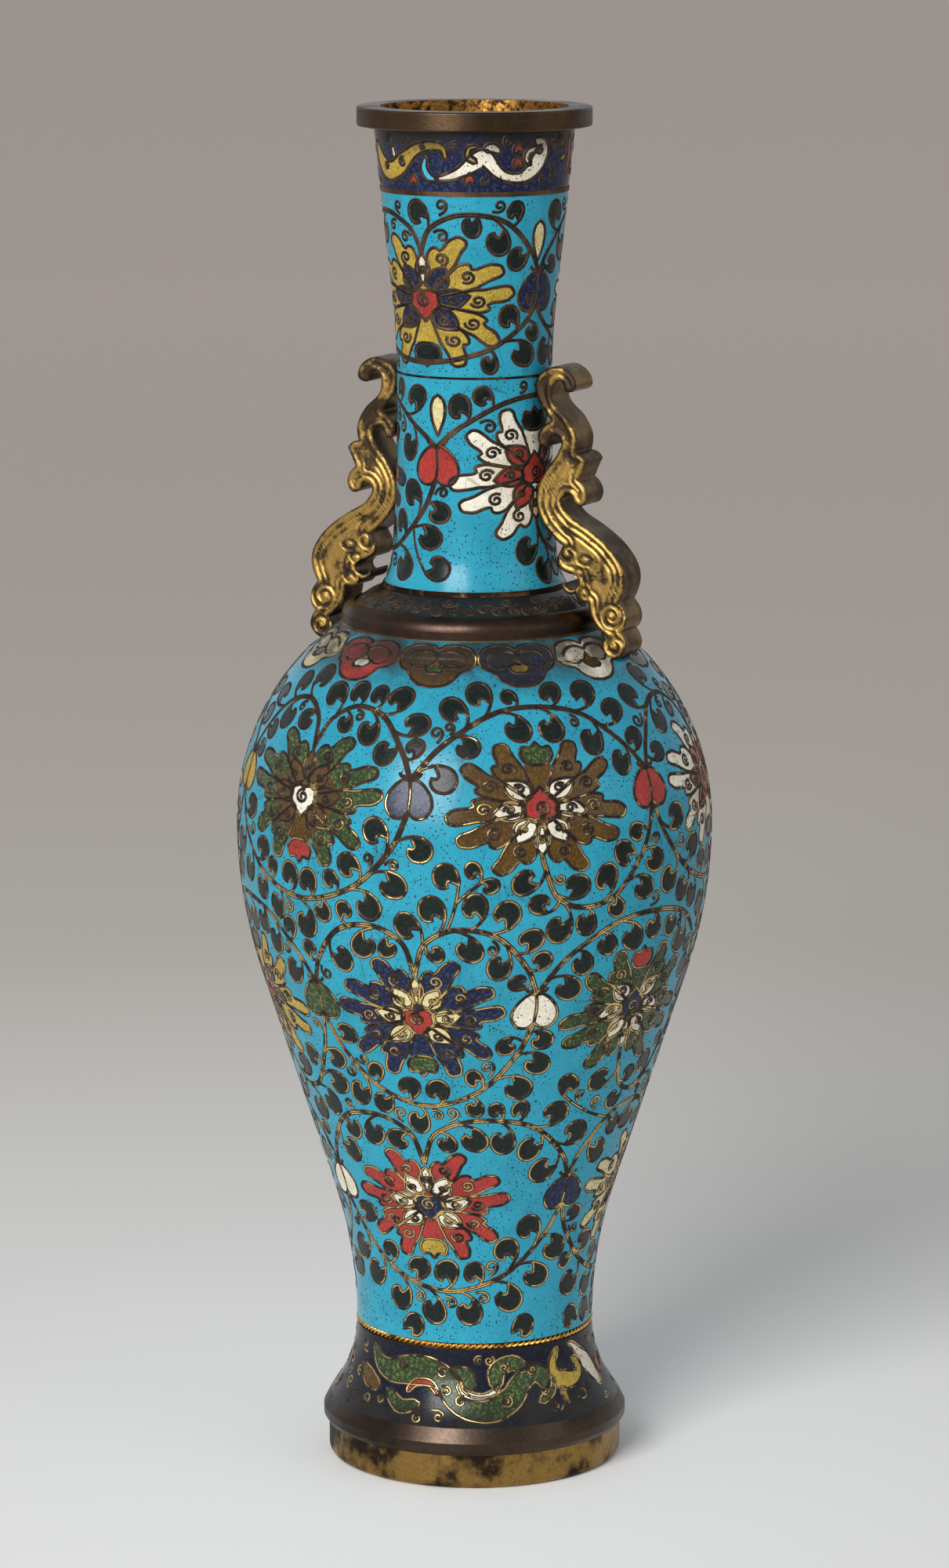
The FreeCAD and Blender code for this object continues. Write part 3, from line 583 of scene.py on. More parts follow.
def cell_wires(name, drawing, wire_look, grime_and_shade_look, part, parts):
    """The drawn wires, or every so many of them, as flat strips with dirt and painted shade at
    their sides.
    """
    face = drawing.face
    jitter = np.random.default_rng(5)
    points, faces, index, normals = [], [], [], []
    total = 0
    for placed, closed, width in drawing.wires[part::parts]:
        line = np.array(placed)
        if closed:
            line = np.concatenate([line, line[:1]])
        count = len(line)
        middle, normal = face.place(line[:, 0], line[:, 1])
        along = np.gradient(middle, axis=0)
        if closed:
            along[0] = along[-1] = middle[1] - middle[-2]
        along /= np.maximum(np.linalg.norm(along, axis=1), 1e-9)[:, None]
        across = np.cross(normal, along)
        knots = np.arange(0, count + SWELL_EVERY + 1, SWELL_EVERY)
        swell = np.interp(np.arange(count), knots, jitter.uniform(*SWELL, len(knots)))
        if closed:
            swell[-1] = swell[0]
        half = 0.5 * WIRE_WIDTH * width * swell * MM
        skirt = half + WIRE_GRIME_AND_SHADE * MM
        lift = WIRE_LIFT * MM
        section = [middle - across * skirt[:, None] - normal * WIRE_SINK * MM,
                   middle - across * half[:, None] + normal * lift,
                   middle + across * half[:, None] + normal * lift,
                   middle + across * skirt[:, None] - normal * WIRE_SINK * MM]
        points.append(np.stack(section, 1).reshape(-1, 3))
        tilt = np.stack([normal - across, normal - across * WIRE_ROUND,
                         normal + across * WIRE_ROUND, normal + across], 1)
        normals.append((tilt / np.linalg.norm(tilt, axis=2)[..., None]).reshape(-1, 3))
        base = total + np.arange(count - 1)[:, None] * 4
        # the side strips take the second finish: dirt and painted shade against the wire
        for k, look in ((0, 1), (1, 0), (2, 1)):
            faces.append(np.concatenate([base + k, base + k + 4, base + k + 5, base + k + 1], 1))
            index += [look] * (count - 1)
        total += count * 4
    mesh = build_mesh(name, np.concatenate(points), np.concatenate(faces),
                      np.concatenate(normals), [wire_look, grime_and_shade_look], index)
    return new_piece(name, mesh, "wire")


# ---------------------------------------------------------------- handles

# relief of the cast dragon: x outward from the neck's throat, z up from the handle's foot,
# with the radius and winding of each scroll
SCROLLS = [(27.2, 14.0, 5.0, 1), (28.2, 4.4, 4.0, -1), (17.6, 21.0, 2.9, 1),
           (11.6, 33.4, 3.6, -1), (15.6, 27.6, 2.6, 1)]
SCROLL_PITCH, SCROLL_EYE, SCROLL_FADE = 2.4, 0.9, 0.9
DRAGON_EYE, EYE_WIDE, EYE_REACH, EYE_FADE = (17.6, 32.0), 1.5, 2.9, 0.7
EYE_RINGS = ([0, 0.9, 1.5, 2.2, 2.9], [0.0, 0.15, 1.0, 0.05, 0.6])
# how deep the relief is against the distance from the handle's edge: on the plain upper part,
# and on the fluted part below
PLAIN_EDGE = ([0.0, 0.5, 1.1, 1.7, 2.4, 3.4, 4.6], [0.85, 0.25, 0.0, 0.15, 0.7, 0.55, 0.3])
FLUTED_EDGE = ([0.0, 0.5, 1.1, 1.8, 2.3, 2.8, 3.6, 4.2, 4.8, 5.6, 7.0],
               [0.85, 0.25, 0.0, 0.1, 0.9, 0.2, 0.1, 0.75, 0.25, 0.2, 0.3])
FLUTED_BELOW, FLUTES_FADE = 62.0, 4.0
RELIEF = 0.85                       # depth of the deepest cut
RUBBED = ([56.0, 74.0], [1.0, 0.45])        # how bright the high places are, over these heights
SIDE_RUBBED, SIDE_LEVELS = 0.3, 6
CASTING_GRID, CASTING_EDGE = 0.62, 0.4      # spacing of a casting's points, and from its edge
OUTLINE_GAP = 0.3                   # least way between the points kept of its outline
FRONT_LEAN, FRONT_DEPTH = -0.99, 0.1        # what counts as a face of its flat front
THROAT_RADIUS, HANDLE_TALL = 25.2, 94.4


def cast_outline(name):
    """The boundary of a handle's flat front face, in millimetres of (x, z), in order."""
    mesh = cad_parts[name].data
    front = min(v.co.y for v in mesh.vertices)
    count = {}
    for face in mesh.polygons:
        if face.normal.y < FRONT_LEAN and face.center.y < front + FRONT_DEPTH * MM:
            ring = [tuple(round(mesh.vertices[i].co[n] / MM, 3) for n in (0, 2))
                    for i in face.vertices]
            for a, b in zip(ring, ring[1:] + ring[:1]):
                edge = (min(a, b), max(a, b))
                count[edge] = count.get(edge, 0) + 1
    beside = {}
    for (a, b), faces in count.items():
        if faces == 1:
            beside.setdefault(a, []).append(b)
            beside.setdefault(b, []).append(a)
    line = [min(beside)]
    step = beside[line[0]][0]
    while step != line[0]:
        line.append(step)
        step = next(point for point in beside[step] if point != line[-2])
    kept = [line[0]]
    for point in line[1:]:
        if min(math.dist(point, kept[-1]), math.dist(point, kept[0])) > OUTLINE_GAP:
            kept.append(point)
    return kept


def from_edge(points, ring):
    """The distance of each point from a closed outline."""
    nearest = np.full(len(points), 1e9)
    for a, b in zip(ring, np.roll(ring, -1, axis=0)):
        along = b - a
        t = np.clip((points - a) @ along / max(along @ along, 1e-9), 0, 1)
        nearest = np.minimum(nearest, np.linalg.norm(points - a - t[:, None] * along, axis=1))
    return nearest


def inside_outline(points, ring):
    """Whether each point lies within a closed outline."""
    within = np.zeros(len(points), bool)
    for a, b in zip(ring, np.roll(ring, -1, axis=0)):
        spans = (a[1] > points[:, 1]) != (b[1] > points[:, 1])
        rise = b[1] - a[1] if abs(b[1] - a[1]) > 1e-9 else 1e-9
        within ^= spans & (points[:, 0] < a[0] + (points[:, 1] - a[1]) * (b[0] - a[0]) / rise)
    return within


def casting_depth(x, z, edge):
    """How deep the relief lies at a place given from the throat and the handle's foot."""
    rich = np.clip((FLUTED_BELOW - z) / FLUTES_FADE, 0, 1)
    depth = np.interp(edge, *PLAIN_EDGE) * (1 - rich) + np.interp(edge, *FLUTED_EDGE) * rich
    for cx, cz, radius, hand in SCROLLS:
        rho, theta = np.hypot(x - cx, z - cz), np.arctan2(z - cz, x - cx)
        wave = 0.5 - 0.5 * np.cos(math.tau * rho / SCROLL_PITCH - hand * theta)
        inside = np.clip((radius - rho) / SCROLL_FADE, 0, 1)
        depth = depth * (1 - inside) + (0.95 * wave * (rho > SCROLL_EYE) + 0.05) * inside
    eye = np.hypot((x - DRAGON_EYE[0]) / EYE_WIDE, z - DRAGON_EYE[1])
    near = np.clip((EYE_REACH - eye) / EYE_FADE, 0, 1)
    return depth * (1 - near) + np.interp(eye, *EYE_RINGS) * near


def cast_handle(name, side):
    """A handle with its scrolls and dragon in relief on both faces, and plain sides."""
    low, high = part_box(name)
    ring = np.array(cast_outline(name))
    flat = np.array([(x, z) for x in np.arange(low.x / MM, high.x / MM, CASTING_GRID)
                     for z in np.arange(low.z / MM, high.z / MM, CASTING_GRID)])
    if sum(a[0] * b[1] - b[0] * a[1] for a, b in zip(ring, np.roll(ring, -1, axis=0))) < 0:
        ring = ring[::-1]
    flat = flat[inside_outline(flat, ring) & (from_edge(flat, ring) > CASTING_EDGE)]
    points = [Vector(p) for p in np.concatenate([ring, flat])]
    found, _, triangles, _, _, owners = delaunay_2d_cdt(
        points, [], [list(range(len(ring)))], 0, MERGE, True)
    triangles = [triangle for triangle, owner in zip(triangles, owners) if owner]
    place = np.array([tuple(p) for p in found])
    edge = from_edge(place, ring)
    foot = high.z / MM - HANDLE_TALL
    depth = RELIEF * casting_depth(side * place[:, 0] - THROAT_RADIUS, place[:, 1] - foot, edge)
    half = high.y / MM
    front = np.stack([place[:, 0], -half + depth, place[:, 1]], 1)
    back = np.stack([place[:, 0], half - depth, place[:, 1]], 1)
    corner = half - RELIEF * 0.9
    levels = np.linspace(-corner, corner, SIDE_LEVELS)
    sides = [np.stack([ring[:, 0], np.full(len(ring), y), ring[:, 1]], 1) for y in levels]
    points = np.concatenate([front, back] + sides) * MM
    facing_front = []
    for a, b, c in triangles:
        turn = np.cross(place[b] - place[a], place[c] - place[a])
        facing_front.append((a, b, c) if turn > 0 else (c, b, a))
    count, start = len(place), 2 * len(place)
    faces = facing_front + [tuple(i + count for i in reversed(face)) for face in facing_front]
    index = [0] * len(faces)
    for k in range(len(levels) - 1):
        for i in range(len(ring)):
            j = (i + 1) % len(ring)
            a, b = start + k * len(ring), start + (k + 1) * len(ring)
            faces.append((a + i, a + j, b + j, b + i))
            index.append(1)
    mesh = build_mesh(f"{name}_casting", points, faces,
                      materials=[looks["cast_gilt"], looks["cast_side"]], index=index)
    rubbed = (1 - np.clip(depth, 0, 1)) * np.interp(place[:, 1] - foot, *RUBBED)
    raised = np.concatenate([rubbed, rubbed, np.full(len(levels) * len(ring), SIDE_RUBBED)])
    mesh.attributes.new("raised", "FLOAT", "POINT").data.foreach_set("value", raised)
    return new_piece(f"{name}_casting", mesh, "gilt", name)


STRAND_RADIUS, TWIST_RADIUS = 0.58 * MM, 0.52 * MM     # each wire, and the circle it winds on
WIRE_INSET, TWIST_INSET = 0.5 * MM, 0.55 * MM          # from the CAD wire's outside to its middle
TWIST_TURNS, TWIST_STEPS, STRAND_SIDES = 58, 1160, 8


def twisted_wire():
    """Two round wires twisted together over the waist joint."""
    low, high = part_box("waist_wire")
    height, reach = (low.z + high.z) / 2, high.x - WIRE_INSET - TWIST_INSET
    steps, sides = TWIST_STEPS, STRAND_SIDES
    points, faces = [], []
    for phase in (0.0, math.pi):
        for k in range(steps):
            around, roll = math.tau * k / steps, math.tau * TWIST_TURNS * k / steps + phase
            for n in range(sides):
                a = math.tau * n / sides
                out = TWIST_RADIUS * math.cos(roll) + STRAND_RADIUS * math.cos(a)
                up = TWIST_RADIUS * math.sin(roll) + STRAND_RADIUS * math.sin(a)
                radius = reach + out
                points.append((radius * math.sin(around), -radius * math.cos(around), height + up))
    for coil in (0, steps * sides):
        for k in range(steps):
            for n in range(sides):
                a, b = coil + k * sides, coil + (k + 1) % steps * sides
                m = (n + 1) % sides
                faces.append((a + n, b + n, b + m, a + m))
    mesh = build_mesh("twisted_waist_wire", points, faces, materials=[looks["waist_gilt"]])
    return new_piece("twisted_waist_wire", mesh, "gilt", "waist_wire")


# ---------------------------------------------------------------- finishes


def group(name, inputs, outputs):
    """A node group with named sockets: (name, kind, default)."""
    tree = bpy.data.node_groups.new(name, "ShaderNodeTree")
    for label, kind, default in inputs:
        socket = tree.interface.new_socket(name=label, in_out="INPUT", socket_type=kind)
        socket.default_value = default
    for label, kind in outputs:
        tree.interface.new_socket(name=label, in_out="OUTPUT", socket_type=kind)
    source = tree.nodes.new("NodeGroupInput")
    sink = tree.nodes.new("NodeGroupOutput")
    return tree, source.outputs, sink.inputs


def node(tree, kind, values=None, links=None, **settings):
    """A node with its settings, its sockets' values and what is linked to them."""
    made = tree.nodes.new(kind)
    for key, value in settings.items():
        setattr(made, key, value)
    for key, value in (values or {}).items():
        made.inputs[key].default_value = value
    for key, source in (links or {}).items():
        tree.links.new(source, made.inputs[key])
    return made


def noise(tree, where, scale, detail):
    return node(tree, "ShaderNodeTexNoise", {"Scale": scale, "Detail": detail, "Roughness": 0.55},
                {"Vector": where}).outputs["Fac"]


def ramp(tree, fac, low, high):
    """0 below low, 1 above high."""
    return node(tree, "ShaderNodeMapRange", {"From Min": low, "From Max": high},
                {"Value": fac}, interpolation_type="SMOOTHSTEP").outputs["Result"]


def arithmetic(tree, operation, a, b):
    """One operation on two values, each a number or a socket."""
    made = node(tree, "ShaderNodeMath", operation=operation)
    for socket, value in zip(made.inputs, (a, b)):
        if isinstance(value, (int, float)):
            socket.default_value = value
        else:
            tree.links.new(value, socket)
    return made.outputs[0]


def times(tree, a, b):
    return arithmetic(tree, "MULTIPLY", a, b)


def plus(tree, a, b):
    return arithmetic(tree, "ADD", a, b)


def minus(tree, a, b):
    return arithmetic(tree, "SUBTRACT", a, b)


def larger(tree, a, b):
    return arithmetic(tree, "MAXIMUM", a, b)


def object_place(tree):
    return node(tree, "ShaderNodeTexCoord").outputs["Object"]


def height_in(tree, where):
    return node(tree, "ShaderNodeSeparateXYZ", links={"Vector": where}).outputs["Z"]


def blend(tree, fac, a, b):
    """Colour a where fac is 0, and b where it is 1."""
    made = node(tree, "ShaderNodeMix", data_type="RGBA")
    for key, value in ((0, fac), (6, a), (7, b)):
        if isinstance(value, (int, float, tuple)):
            made.inputs[key].default_value = value
        else:
            tree.links.new(value, made.inputs[key])
    return made.outputs[2]


def rgb(r, g, b):
    """A colour written as 0-255 display values."""
    def linear(c):
        c /= 255
        return c / 12.92 if c <= 0.04045 else ((c + 0.055) / 1.055) ** 2.4
    return (linear(r), linear(g), linear(b), 1.0)


COLOUR, VALUE = "NodeSocketColor", "NodeSocketFloat"

# where soot and painted shade lie, in metres of height: clean here, black there, and none over this
SOOT_AND_SHADE = ((0.264, 0.277, 0.290), (0.031, 0.022, 0.040), (0.433, 0.442, 0.450))
SOOT_AND_SHADE_EDGE = 0.008
SOOT_AND_SHADE_COLOUR, CRACK_COLOUR, PIT_COLOUR = rgb(40, 38, 33), rgb(44, 40, 36), rgb(28, 26, 24)

# how fine each thing in the enamel is, in repeats a metre
GRAIN_SCALE, FLECK_SCALE = 1500.0, 980.0
CLOUD_SCALE, SOOT_AND_SHADE_SCALE = 90.0, 80.0
CROWD_SCALE, WORN_SCALE, CRACK_SCALE = 70.0, 46.0, 150.0
METAL_GRAIN = 900.0                 # and the same for metal
# fine and coarse pits: repeats a metre, how few of them open, and how wide
PITS = ((1100.0, 0.42, 0.74), (420.0, 0.70, 0.50))


def open_pits(tree, where, amount):
    """1 within the open pits, 0 elsewhere."""
    pit = 0.0
    for scale, share, reach in PITS:
        cells = node(tree, "ShaderNodeTexVoronoi", {"Scale": scale, "Randomness": 1.0},
                     {"Vector": where}).outputs
        lot = node(tree, "ShaderNodeSeparateColor", links={"Color": cells["Color"]}).outputs[0]
        width = times(tree, times(tree, ramp(tree, lot, share, share + 0.35), reach), amount)
        crowd = ramp(tree, noise(tree, where, CROWD_SCALE, 2.0), 0.22, 0.58)
        width = times(tree, times(tree, width, crowd), 0.42)
        hole = arithmetic(tree, "LESS_THAN", cells["Distance"], width)
        pit = larger(tree, pit, hole)
    return pit


def fine_cracks(tree, where):
    """Hair cracks in the more worn parts."""
    stretch = node(tree, "ShaderNodeMapping",
                   {"Scale": (1.0, 1.0, 0.32), "Rotation": (0.5, 0.3, 0)},
                   {"Vector": where}).outputs["Vector"]
    edge = node(tree, "ShaderNodeTexVoronoi", {"Scale": CRACK_SCALE}, {"Vector": stretch},
                feature="DISTANCE_TO_EDGE").outputs["Distance"]
    worn = ramp(tree, noise(tree, where, WORN_SCALE, 3.0), 0.52, 0.66)
    return times(tree, ramp(tree, edge, 0.035, 0.0), times(tree, worn, 0.5))


def soot_and_painted_shade(tree, where):
    """Soot and painted shade in the corners under the collar, over the foot's moulding and under
    the rim.
    """
    height = height_in(tree, where)
    soot_and_shade = 0.0
    # each band of soot and painted shade sits in a corner under the collar or rim, or over the
    # foot's moulding
    for clean, dirty, above in SOOT_AND_SHADE:
        near = times(tree, ramp(tree, height, clean, dirty),
                     ramp(tree, height, above + SOOT_AND_SHADE_EDGE, above))
        soot_and_shade = larger(tree, soot_and_shade, near)
    return times(tree, soot_and_shade, ramp(tree, noise(tree, where, SOOT_AND_SHADE_SCALE, 4.0), 0.25, 0.58))


def fired_glass_group():
    """Enamel: grainy colour with cloudy patches, flecks, cracks, soot and painted shade, and open
    dark pits.
    """
    tree, given, out = group(
        "fired_glass",
        [("Colour", COLOUR, (0.1, 0.5, 0.6, 1)), ("Deep", COLOUR, (0.05, 0.3, 0.4, 1)),
         ("Fleck", COLOUR, (0.2, 0.6, 0.7, 1)), ("Grain", VALUE, 0.5), ("Fleck share", VALUE, 0.0),
         ("Pits", VALUE, 0.5)],
        [("Colour", COLOUR), ("Roughness", VALUE), ("Height", VALUE)])
    where = object_place(tree)
    grain = ramp(tree, noise(tree, where, GRAIN_SCALE, 2.0), 0.35, 0.68)
    cloud = ramp(tree, noise(tree, where, CLOUD_SCALE, 4.0), 0.42, 0.68)
    fleck = ramp(tree, noise(tree, where, FLECK_SCALE, 3.0), 0.52, 0.60)
    pit = open_pits(tree, where, given["Pits"])
    body = blend(tree, times(tree, grain, given["Grain"]), given["Colour"], given["Deep"])
    body = blend(tree, times(tree, cloud, 0.5), body, given["Deep"])
    body = blend(tree, times(tree, fleck, given["Fleck share"]), body, given["Fleck"])
    body = blend(tree, fine_cracks(tree, where), body, CRACK_COLOUR)
    # soot and painted shade in the corners under the collar and rim and over the foot's moulding
    body = blend(tree, times(tree, soot_and_painted_shade(tree, where), 0.88), body, SOOT_AND_SHADE_COLOUR)
    body = blend(tree, times(tree, pit, 0.92), body, PIT_COLOUR)
    rough = plus(tree, times(tree, pit, 0.55), times(tree, grain, 0.10))
    height = plus(tree, times(tree, pit, -1.0), times(tree, grain, 0.12))
    tree.links.new(body, out["Colour"])
    tree.links.new(rough, out["Roughness"])
    tree.links.new(height, out["Height"])
    return tree


def aged_metal_group():
    """Metal that is bright where it is rubbed and dark where it has tarnished."""
    tree, given, out = group(
        "aged_metal",
        [("Bright", COLOUR, (0.8, 0.6, 0.2, 1)), ("Dark", COLOUR, (0.1, 0.06, 0.03, 1)),
         ("Scale", VALUE, 100.0), ("Tarnish", VALUE, 0.5), ("Softness", VALUE, 0.1)],
        [("Colour", COLOUR), ("Tarnish", VALUE), ("Height", VALUE)])
    where = object_place(tree)
    broad = node(tree, "ShaderNodeTexNoise", {"Detail": 5.0, "Roughness": 0.62},
                 {"Vector": where, "Scale": given["Scale"]}).outputs["Fac"]
    low = minus(tree, given["Tarnish"], given["Softness"])
    high = plus(tree, given["Tarnish"], given["Softness"])
    clean = node(tree, "ShaderNodeMapRange",
                 links={"Value": broad, "From Min": low, "From Max": high},
                 interpolation_type="SMOOTHSTEP").outputs["Result"]
    fine = noise(tree, where, METAL_GRAIN, 3.0)
    colour = blend(tree, clean, given["Dark"], given["Bright"])
    colour = blend(tree, times(tree, ramp(tree, fine, 0.45, 0.75), 0.35), colour, given["Dark"])
    tree.links.new(colour, out["Colour"])
    tree.links.new(minus(tree, 1.0, clean), out["Tarnish"])
    tree.links.new(fine, out["Height"])
    return tree


def finish_shader(name, metallic):
    look = bpy.data.materials.new(name)
    look.use_nodes = True
    shader = look.node_tree.nodes["Principled BSDF"]
    shader.inputs["Metallic"].default_value = metallic
    return look, look.node_tree, shader


def bump(tree, shader, height, distance, strength=1.0):
    made = node(tree, "ShaderNodeBump", {"Distance": distance, "Strength": strength},
                {"Height": height})
    tree.links.new(made.outputs["Normal"], shader.inputs["Normal"])


ENAMEL_POLISH, ENAMEL_SHINE, ENAMEL_RELIEF = 0.16, 0.24, 0.00010
DULLS_OVER, DULLS_BY = 0.04, 0.13   # a wire that dulls with height: over so many metres, how much


def enamel(name, colour, deep, fleck, grain, share, pits):
    """A fired enamel, glossy but for its pits."""
    look, tree, shader = finish_shader(name, 0.0)
    fired = node(tree, "ShaderNodeGroup", node_tree=groups["glass"])
    for key, value in (("Colour", rgb(*colour)), ("Deep", rgb(*deep)), ("Fleck", rgb(*fleck)),
                       ("Grain", grain), ("Fleck share", share), ("Pits", pits)):
        fired.inputs[key].default_value = value
    tree.links.new(fired.outputs["Colour"], shader.inputs["Base Color"])
    rough = plus(tree, fired.outputs["Roughness"], ENAMEL_POLISH)
    tree.links.new(rough, shader.inputs["Roughness"])
    bump(tree, shader, fired.outputs["Height"], ENAMEL_RELIEF, 0.6)
    shader.inputs["Specular IOR Level"].default_value = ENAMEL_SHINE
    return look


def metal(name, bright, dark, scale, tarnish, softness=0.08, polish=0.3, dull=0.3, metallic=1.0,
          relief=0.00004, raised=0.0, dull_above=None):
    """An aged metal. With raised, a casting's high places are rubbed bright by that much. With
    dull_above, it dulls above that height."""
    look, tree, shader = finish_shader(name, metallic)
    aged = node(tree, "ShaderNodeGroup", node_tree=groups["metal"])
    for key, value in (("Bright", rgb(*bright)), ("Dark", rgb(*dark)), ("Scale", scale),
                       ("Tarnish", tarnish), ("Softness", softness)):
        aged.inputs[key].default_value = value
    if raised:
        rubbed = node(tree, "ShaderNodeAttribute", attribute_name="raised").outputs["Fac"]
        level = minus(tree, tarnish + raised * 0.5, times(tree, rubbed, raised))
        tree.links.new(level, aged.inputs["Tarnish"])
    if dull_above:
        height = height_in(tree, object_place(tree))
        above = ramp(tree, height, dull_above, dull_above + DULLS_OVER)
        level = plus(tree, times(tree, above, DULLS_BY), tarnish)
        tree.links.new(level, aged.inputs["Tarnish"])
    tree.links.new(aged.outputs["Colour"], shader.inputs["Base Color"])
    rough = plus(tree, times(tree, aged.outputs["Tarnish"], dull), polish)
    tree.links.new(rough, shader.inputs["Roughness"])
    bump(tree, shader, aged.outputs["Height"], relief)
    return look


ENAMELS = {
    # its colour, the deeper shade in it and its flecks, then how much grain, flecks and pits
    "turquoise_enamel": ((46, 153, 178), (34, 126, 150), (34, 126, 150), 0.5, 0.0, 1.0),
    "navy_enamel": ((26, 34, 68), (13, 17, 34), (70, 84, 120), 0.8, 0.35, 0.6),
    "midnight_enamel": ((15, 19, 38), (7, 8, 13), (46, 52, 78), 0.9, 0.2, 0.6),
    "leaf_enamel": ((20, 32, 30), (10, 16, 15), (36, 58, 48), 0.8, 0.25, 0.5),
    "brick_enamel": ((168, 56, 50), (118, 36, 34), (190, 82, 70), 0.6, 0.2, 0.7),
    "ochre_enamel": ((176, 150, 58), (134, 108, 40), (204, 184, 96), 0.6, 0.3, 0.8),
    "cream_enamel": ((214, 204, 150), (170, 150, 96), (230, 226, 190), 0.5, 0.3, 0.9),
    "white_enamel": ((230, 226, 208), (176, 160, 132), (242, 240, 230), 0.4, 0.2, 1.1),
    "amber_enamel": ((92, 66, 28), (50, 34, 18), (124, 94, 42), 0.6, 0.35, 0.5),
    "moss_enamel": ((54, 72, 42), (28, 40, 26), (108, 122, 66), 0.7, 0.6, 0.8),
    "sky_enamel": ((70, 170, 200), (50, 140, 170), (50, 140, 170), 0.5, 0.0, 0.5),
}

METALS = {
    # where it is bright and dark, then the tarnish: repeats a metre, how much and how soft
    "bright_wire": ((250, 210, 126), (58, 40, 24), 150.0, 0.51, 0.05,
                    dict(polish=0.25, dull_above=0.215)),
    "dark_wire": ((118, 84, 52), (40, 28, 20), 90.0, 0.56, 0.08, dict(polish=0.35)),
    "waist_gilt": ((226, 176, 88), (70, 48, 28), 60.0, 0.44, 0.06, {}),
    # dirt and painted shade along each side of a wire, where it meets the enamel
    "wire_dirt_and_shade": ((64, 48, 34), (26, 22, 18), 300.0, 0.5, 0.1,
                  dict(polish=0.55, metallic=0.0)),
    "rim_bronze": ((96, 76, 56), (54, 42, 32), 40.0, 0.5, 0.2, dict(polish=0.30, dull=0.15)),
    "collar_bronze": ((92, 72, 62), (46, 37, 33), 30.0, 0.5, 0.2,
                      dict(polish=0.28, dull=0.15)),
    "moulding_bronze": ((80, 67, 57), (44, 36, 31), 30.0, 0.5, 0.2,
                        dict(polish=0.30, dull=0.15)),
    "cast_side": ((126, 100, 54), (58, 46, 30), 60.0, 0.52, 0.15, dict(polish=0.34, dull=0.15)),
    "cast_gilt": ((168, 136, 74), (66, 54, 42), 190.0, 0.53, 0.09,
                  dict(polish=0.42, dull=0.15, raised=0.34)),
    "band_copper": ((128, 98, 70), (62, 46, 34), 60.0, 0.5, 0.15, dict(polish=0.36)),
    "mouth_gilt": ((196, 142, 70), (64, 44, 26), 420.0, 0.5, 0.10,
                   dict(polish=0.32, relief=0.00012)),
    "pale_edge": ((150, 132, 98), (70, 58, 44), 60.0, 0.5, 0.2, {}),
    "foot_gilt": ((150, 118, 64), (46, 36, 28), 70.0, 0.50, 0.10,
                  dict(polish=0.34, dull=0.25, relief=0.00012)),
    "inner_copper": ((176, 122, 56), (46, 32, 20), 110.0, 0.52, 0.10,
                     dict(polish=0.4, dull=0.25, relief=0.00015)),
}

groups = {"glass": fired_glass_group(), "metal": aged_metal_group()}
looks = {name: enamel(name, *values) for name, values in ENAMELS.items()}
looks.update({name: metal(name, *values, **more) for name, (*values, more) in METALS.items()})


# ---------------------------------------------------------------- the drawn zones

UP, HANGING = 0.0, math.pi
FLOWER_HALF, BUD_HALF = 14.6, 5.0   # how far stems stop from the middle of a flower and a bud
BUD_TOP, BUD_FOOT = BUD_HALF + 3.6, 3.4 - BUD_HALF      # where vines meet a bud of the row


def between(turn_a, turn_b, height, rises):
    """A course from one place to the next, through (share of the way, rise) pairs."""
    return [(turn_a + (turn_b - turn_a) * share, height + rise) for share, rise in rises]


def row(drawing, height, flowers, buds, drop, top, squeeze=1.0, size=1.0):
    """One row of scrolling lotuses with buds between them, and the vines that join them: those
    above the row rise by about top, and those below it fall by drop."""
    vines = []
    for turn, pose, kind in flowers:
        put = drawing.spot(turn, height, pose, size, wide=squeeze)
        lotus(drawing, put, *LOTUS_COLOURS[kind])
    for turn, enamel_name in buds:
        heart(drawing, drawing.spot(turn, height + 3.0, 0.0, size), enamel_name)
    turns = sorted(turn for turn, _ in buds)
    for turn, pose, _ in flowers:
        before = max([t for t in turns if t < turn] or [turns[-1] - 360])
        after = min([t for t in turns if t > turn] or [turns[0] + 360])
        if pose == HANGING:
            vines.append(vine(drawing, between(before, after, height, [
                (0, BUD_FOOT), (0.07, -drop * 0.42), (0.24, -drop * 0.82), (0.5, -drop),
                (0.76, -drop * 0.82), (0.93, -drop * 0.42), (1, BUD_FOOT)])))
            for bud in (after, before):
                vines.append(vine(drawing, between(turn, bud, height, [
                    (0, FLOWER_HALF), (0.02, FLOWER_HALF + 3.5), (0.10, top * 0.85),
                    (0.34, top), (0.66, top * 0.92), (0.90, top * 0.58), (1, BUD_TOP)])))
        else:
            vines.append(vine(drawing, between(before, after, height, [
                (0, BUD_TOP), (0.12, top * 0.66), (0.32, top * 0.97), (0.52, top * 1.04),
                (0.74, top * 0.94), (0.91, top * 0.60), (1, BUD_TOP)])))
            vines.append(vine(drawing, between(turn, after, height, [
                (0, -FLOWER_HALF), (0.02, -FLOWER_HALF - 4.0), (0.12, -drop * 0.88),
                (0.34, -drop), (0.62, -drop * 0.90), (0.88, -drop * 0.48), (1, BUD_FOOT)])))
    top_run = drawing.face.run_at(height + BUD_TOP + 2.0)
    for turn in turns:
        for hand in (1, -1):
            shoot(drawing, (FRONT + math.radians(turn), top_run), hand * 0.75, 6.0, 1.3, hand,
                  0.98 * size, 1.0)
    return vines


